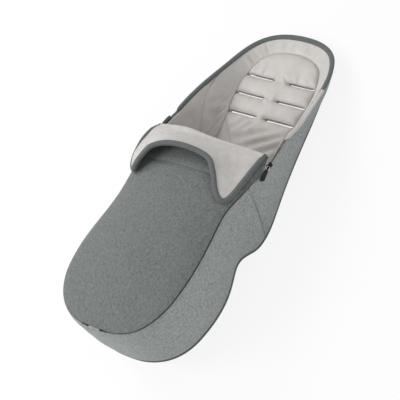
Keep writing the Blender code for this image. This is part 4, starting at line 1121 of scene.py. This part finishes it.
def cuff_binding():
    """The binding: a soft roll along the whole free edge, which goes round the fold at both ends."""
    arch, side = cuff_edges(BINDING_INSET)
    half = np.vstack((arch, side[1:]))
    flat = spaced(np.vstack((half[::-1] * (-1, 1), half[1:])), EDGE_STEPS)
    middle = raised(flat[None], CUFF_THICK / 2)[0]
    ends = [roll(at[None], 0.0030)[:, 0] for at in (flat[0], flat[-1])]
    path = np.vstack((ends[0], middle, ends[1][::-1]))
    path = settled(spaced(path, BINDING_STEPS))
    run = np.clip((FOLD_Y - path[:, 1]) / CUFF_DROP, 0, 1.1)
    tucked = ease((-path[:, 0] - 0.125) / 0.025) * ease((run - 0.25) / 0.40) * ease((1.06 - run) / 0.12)
    path = path + tucked[:, None] * CUFF_TUCK
    run = unit(np.gradient(path, axis=0))
    up = np.tile((0.0, 0.0, 1.0), (len(path), 1))
    in_roll = np.clip((path[:, 1] - FOLD_Y) / 0.0030, 0, 1)[:, None]
    away = np.column_stack((np.zeros(len(path)), np.ones(len(path)), np.zeros(len(path))))
    low = path[:, 2:] < COVER_TOP(path[:, 0], np.minimum(path[:, 1], FOLD_Y))[:, None]
    low &= path[:, 1:2] > FOLD_Y - 0.002
    up = unit(up * (1 - in_roll) * np.where(low, -1, 1) + away * in_roll)
    side_way = unit(np.cross(run, up))
    up = np.cross(side_way, run)
    turns = np.linspace(0, 2 * math.pi, BINDING_TURN, endpoint=False)
    wide, thick = BINDING_HALF
    order = np.arange(len(path))
    narrow = (0.50 + 0.50 * ease(np.minimum(order, order[::-1]) / 22))[:, None]
    rings = []
    for turn in turns:
        c, s = math.cos(turn), math.sin(turn)
        a = wide * math.copysign(abs(c) ** 0.8, c) * narrow
        b = thick * math.copysign(abs(s) ** 0.8, s) * narrow
        rings.append(path + side_way * a + up * b)
    return ring_mesh("cuff_binding_tape", np.array(rings).transpose(1, 0, 2), True)


# Trim and hardware
RIM_DROP = (0.0018, 0, -0.0040)
RIM_SHARE = 0.68
RIM_END_SHARE = 0.26
RIM_TURN = 0.318
ZIP_SWELL = 0.0003
BRIDGE_SWELL = 0.0010
# Node, piece, body, look and bevel
HARDWARE = (
    ("zip_slider", "zip_slider_body", "slider", ZIP_NYLON, 0.0007),
    ("zip_stop", "zip_stop_block", "shell", ZIP_TAPE, 0.0004),
    ("pull_link", "pull_link_wire", "pull", BRIGHT_WIRE, 0.0003),
    ("pull_tab", "pull_tab_strip", "pull", PULL_RUBBER, 0.0008),
)


def slimmed(points, reach, share):
    """A long soft tube, drawn in towards its own middle line by a share for each of its points."""
    tree = tree_of(points)
    middle = np.array([points[[i for _, i, _ in tree.find_range(p, reach)]].mean(0) for p in points])
    return middle + (points - middle) * share[:, None]


def smooth_mesh(node, levels=2, swell=0.0):
    """The mesh of a CAD solid, rounded by subdivision."""
    mesh = fine_mesh(cad_shape(node), node, levels)
    set_points(mesh, points_of(mesh) + normals_of(mesh) * swell)
    return mesh


def hard_mesh(node, bevel):
    """The mesh of hardware: its CAD solid with rounded edges."""
    shape = cad_shape(node)
    edges = [e for e in shape.edges if len(e.link_faces) == 2 and e.calc_face_angle(0) > math.radians(28)]
    bmesh.ops.bevel(
        shape, geom=edges, offset=bevel, segments=2, profile=0.6, affect="EDGES", clamp_overlap=True
    )
    return mesh_from(shape, node)


def rim_mesh():
    """The binding, which narrows low on the right and lies a little lower there."""
    mesh = smooth_mesh("rim_binding")
    points = points_of(mesh)
    near = ease((points[:, 1] - 0.31) / 0.12) + ease(-points[:, 0] / 0.05)
    points = slimmed(points, 0.0095, RIM_END_SHARE + (RIM_SHARE - RIM_END_SHARE) * np.minimum(near, 1))
    low = ease((points[:, 0] - 0.06) / 0.05) * ease((0.42 - points[:, 1]) / 0.10)
    set_points(mesh, points + low[:, None] * RIM_DROP)
    return mesh


def rim_part(mesh, name, turned):
    """The binding round the head and the left, or else the turned edge low on the right."""
    shape = bmesh.new()
    shape.from_mesh(mesh)
    right = [v for v in shape.verts if v.co.x > 0]
    edges = {e for v in right for e in v.link_edges}
    faces = {f for v in right for f in v.link_faces}
    whole = [*right, *edges, *faces]
    bmesh.ops.bisect_plane(shape, geom=whole, plane_co=(0, RIM_TURN, 0), plane_no=(0, 1, 0))
    middles = [(f, f.calc_center_median()) for f in shape.faces]
    spare = [f for f, m in middles if (m.x > 0 and m.y < RIM_TURN) != turned]
    bmesh.ops.delete(shape, geom=spare, context="FACES")
    bmesh.ops.holes_fill(shape, edges=[e for e in shape.edges if e.is_boundary], sides=0)
    return mesh_from(shape, name)


def zip_mesh(owner, side):
    """A zip tape. The open one on the left is wider, as its hem shows there."""
    mesh = smooth_mesh(f"zip_{owner}_half_{side}", 1, ZIP_SWELL)
    if owner == "shell":
        points = points_of(mesh)
        share = 1 + 1.1 * ease((points[:, 1] - 0.086) / 0.012) * (points[:, 0] < 0)
        set_points(mesh, slimmed(points, 0.0060, share))
    return mesh


def make_trim():
    rim = rim_mesh()
    for name, turned, look in (("rim_binding_tape", False, TRIM), ("rim_turned_edge", True, LINING)):
        finished(name, rim_part(rim, name, turned), "shell", look, "rim_binding")
    finished("back_edge_cord", smooth_mesh("back_edge_piping"), "shell", TRIM, "back_edge_piping")
    finished("toe_bridge_tape", smooth_mesh("toe_bridge", 2, BRIDGE_SWELL), "shell", OUTER, "toe_bridge")
    for side in SIDES:
        for owner in ("shell", "cover"):
            tape = zip_mesh(owner, side)
            finished(f"zip_{owner}_tape_{side}", tape, owner, ZIP_TAPE, f"zip_{owner}_half_{side}")
        for node, name, body, look, bevel in HARDWARE:
            mesh = hard_mesh(f"{node}_{side}", bevel)
            carrier = body if body == "shell" else f"{body}_{side}"
            finished(f"{name}_{side}", mesh, carrier, look, f"{node}_{side}", smooth=False)


# Stage
WORLD_COLOUR = (0.97, 0.98, 1.0, 1)
WORLD_LIGHT = 0.47
FLOOR_SIZE = 24.0
FLOOR_COLOUR = (0.92, 0.92, 0.92, 1)
FLOOR_WHITE_SHARE = 0.86
# Name, place, width and power
LAMPS = (
    ("key", (-2.1, 0.5, 2.1), 1.5, 33),
    ("low_key", (-1.5, -1.6, 2.3), 1.5, 38),
    ("fill", (2.6, -0.4, 1.7), 2.6, 19),
)


def make_camera():
    a, e, r = CAMERA_AZIMUTH, CAMERA_ELEVATION, CAMERA_ROLL
    back = Vector((math.sin(a) * math.cos(e), -math.cos(a) * math.cos(e), math.sin(e)))
    level = Vector((0, 0, 1)).cross(back).normalized()
    rise = back.cross(level)
    right = level * math.cos(r) + rise * math.sin(r)
    up = back.cross(right)
    data = bpy.data.cameras.new("camera")
    data.lens = CAMERA_LENS
    data.clip_start, data.clip_end = 0.1, 60
    camera = link("camera", data)
    camera.matrix_world = Matrix.Translation(CAMERA_PLACE) @ Matrix((right, up, back)).transposed().to_4x4()
    bpy.context.scene.camera = camera


def white_to_camera(tree, share, plain, white, output):
    """Shows the white shader in place of the plain one, by this share, where the camera sees it.

    That is straight, in a mirror or through glass.
    """
    path = tree.nodes.new("ShaderNodeLightPath").outputs
    seen = math_node(tree, "MAXIMUM", path["Is Camera Ray"], path["Is Glossy Ray"])
    seen = math_node(tree, "MAXIMUM", seen, path["Is Transmission Ray"])
    seen = math_node(tree, "MULTIPLY", seen, share)
    mix = new_node(tree, "MixShader", {"Fac": seen, 1: plain, 2: white})
    tree.links.new(mix, tree.nodes[output].inputs["Surface"])


def make_world():
    world = bpy.data.worlds.new("studio")
    bpy.context.scene.world = world
    world.use_nodes = True
    tree = world.node_tree
    light = wired(tree, tree.nodes["Background"], {"Color": WORLD_COLOUR, "Strength": WORLD_LIGHT})
    backdrop = new_node(tree, "Background", {"Color": (1, 1, 1, 1)})
    white_to_camera(tree, 1, light, backdrop, "World Output")


def make_floor():
    mesh = bpy.data.meshes.new("floor")
    half = FLOOR_SIZE / 2
    corners = [(-half, -half, 0), (half, -half, 0), (half, half, 0), (-half, half, 0)]
    mesh.from_pydata(corners, [], [(0, 1, 2, 3)])
    floor = link("floor", mesh)
    made, tree = new_material("white_floor")
    sockets = {"Base Color": FLOOR_COLOUR, "Roughness": 1.0, "Specular IOR Level": 0.0}
    plain = wired(tree, tree.nodes["Principled BSDF"], sockets)
    white_to_camera(tree, FLOOR_WHITE_SHARE, plain, new_node(tree, "Emission", {}), "Material Output")
    mesh.materials.append(made)


def make_lamps():
    for name, place, size, power in LAMPS:
        data = bpy.data.lights.new(name, "AREA")
        data.shape = "DISK"
        data.size = size
        data.energy = power
        lamp = link(name, data)
        lamp.location = place
        lamp.rotation_euler = (-Vector(place)).to_track_quat("-Z", "Y").to_euler()


make_camera()
make_world()
make_floor()
make_lamps()
bpy.context.scene.view_settings.view_transform = "Standard"
soft = [sewn(*panel) for panel in SHELL_PANELS] + make_backrest()
soft += [sewn(*panel) for panel in COVER_PANELS] + make_cuff()
make_trim()
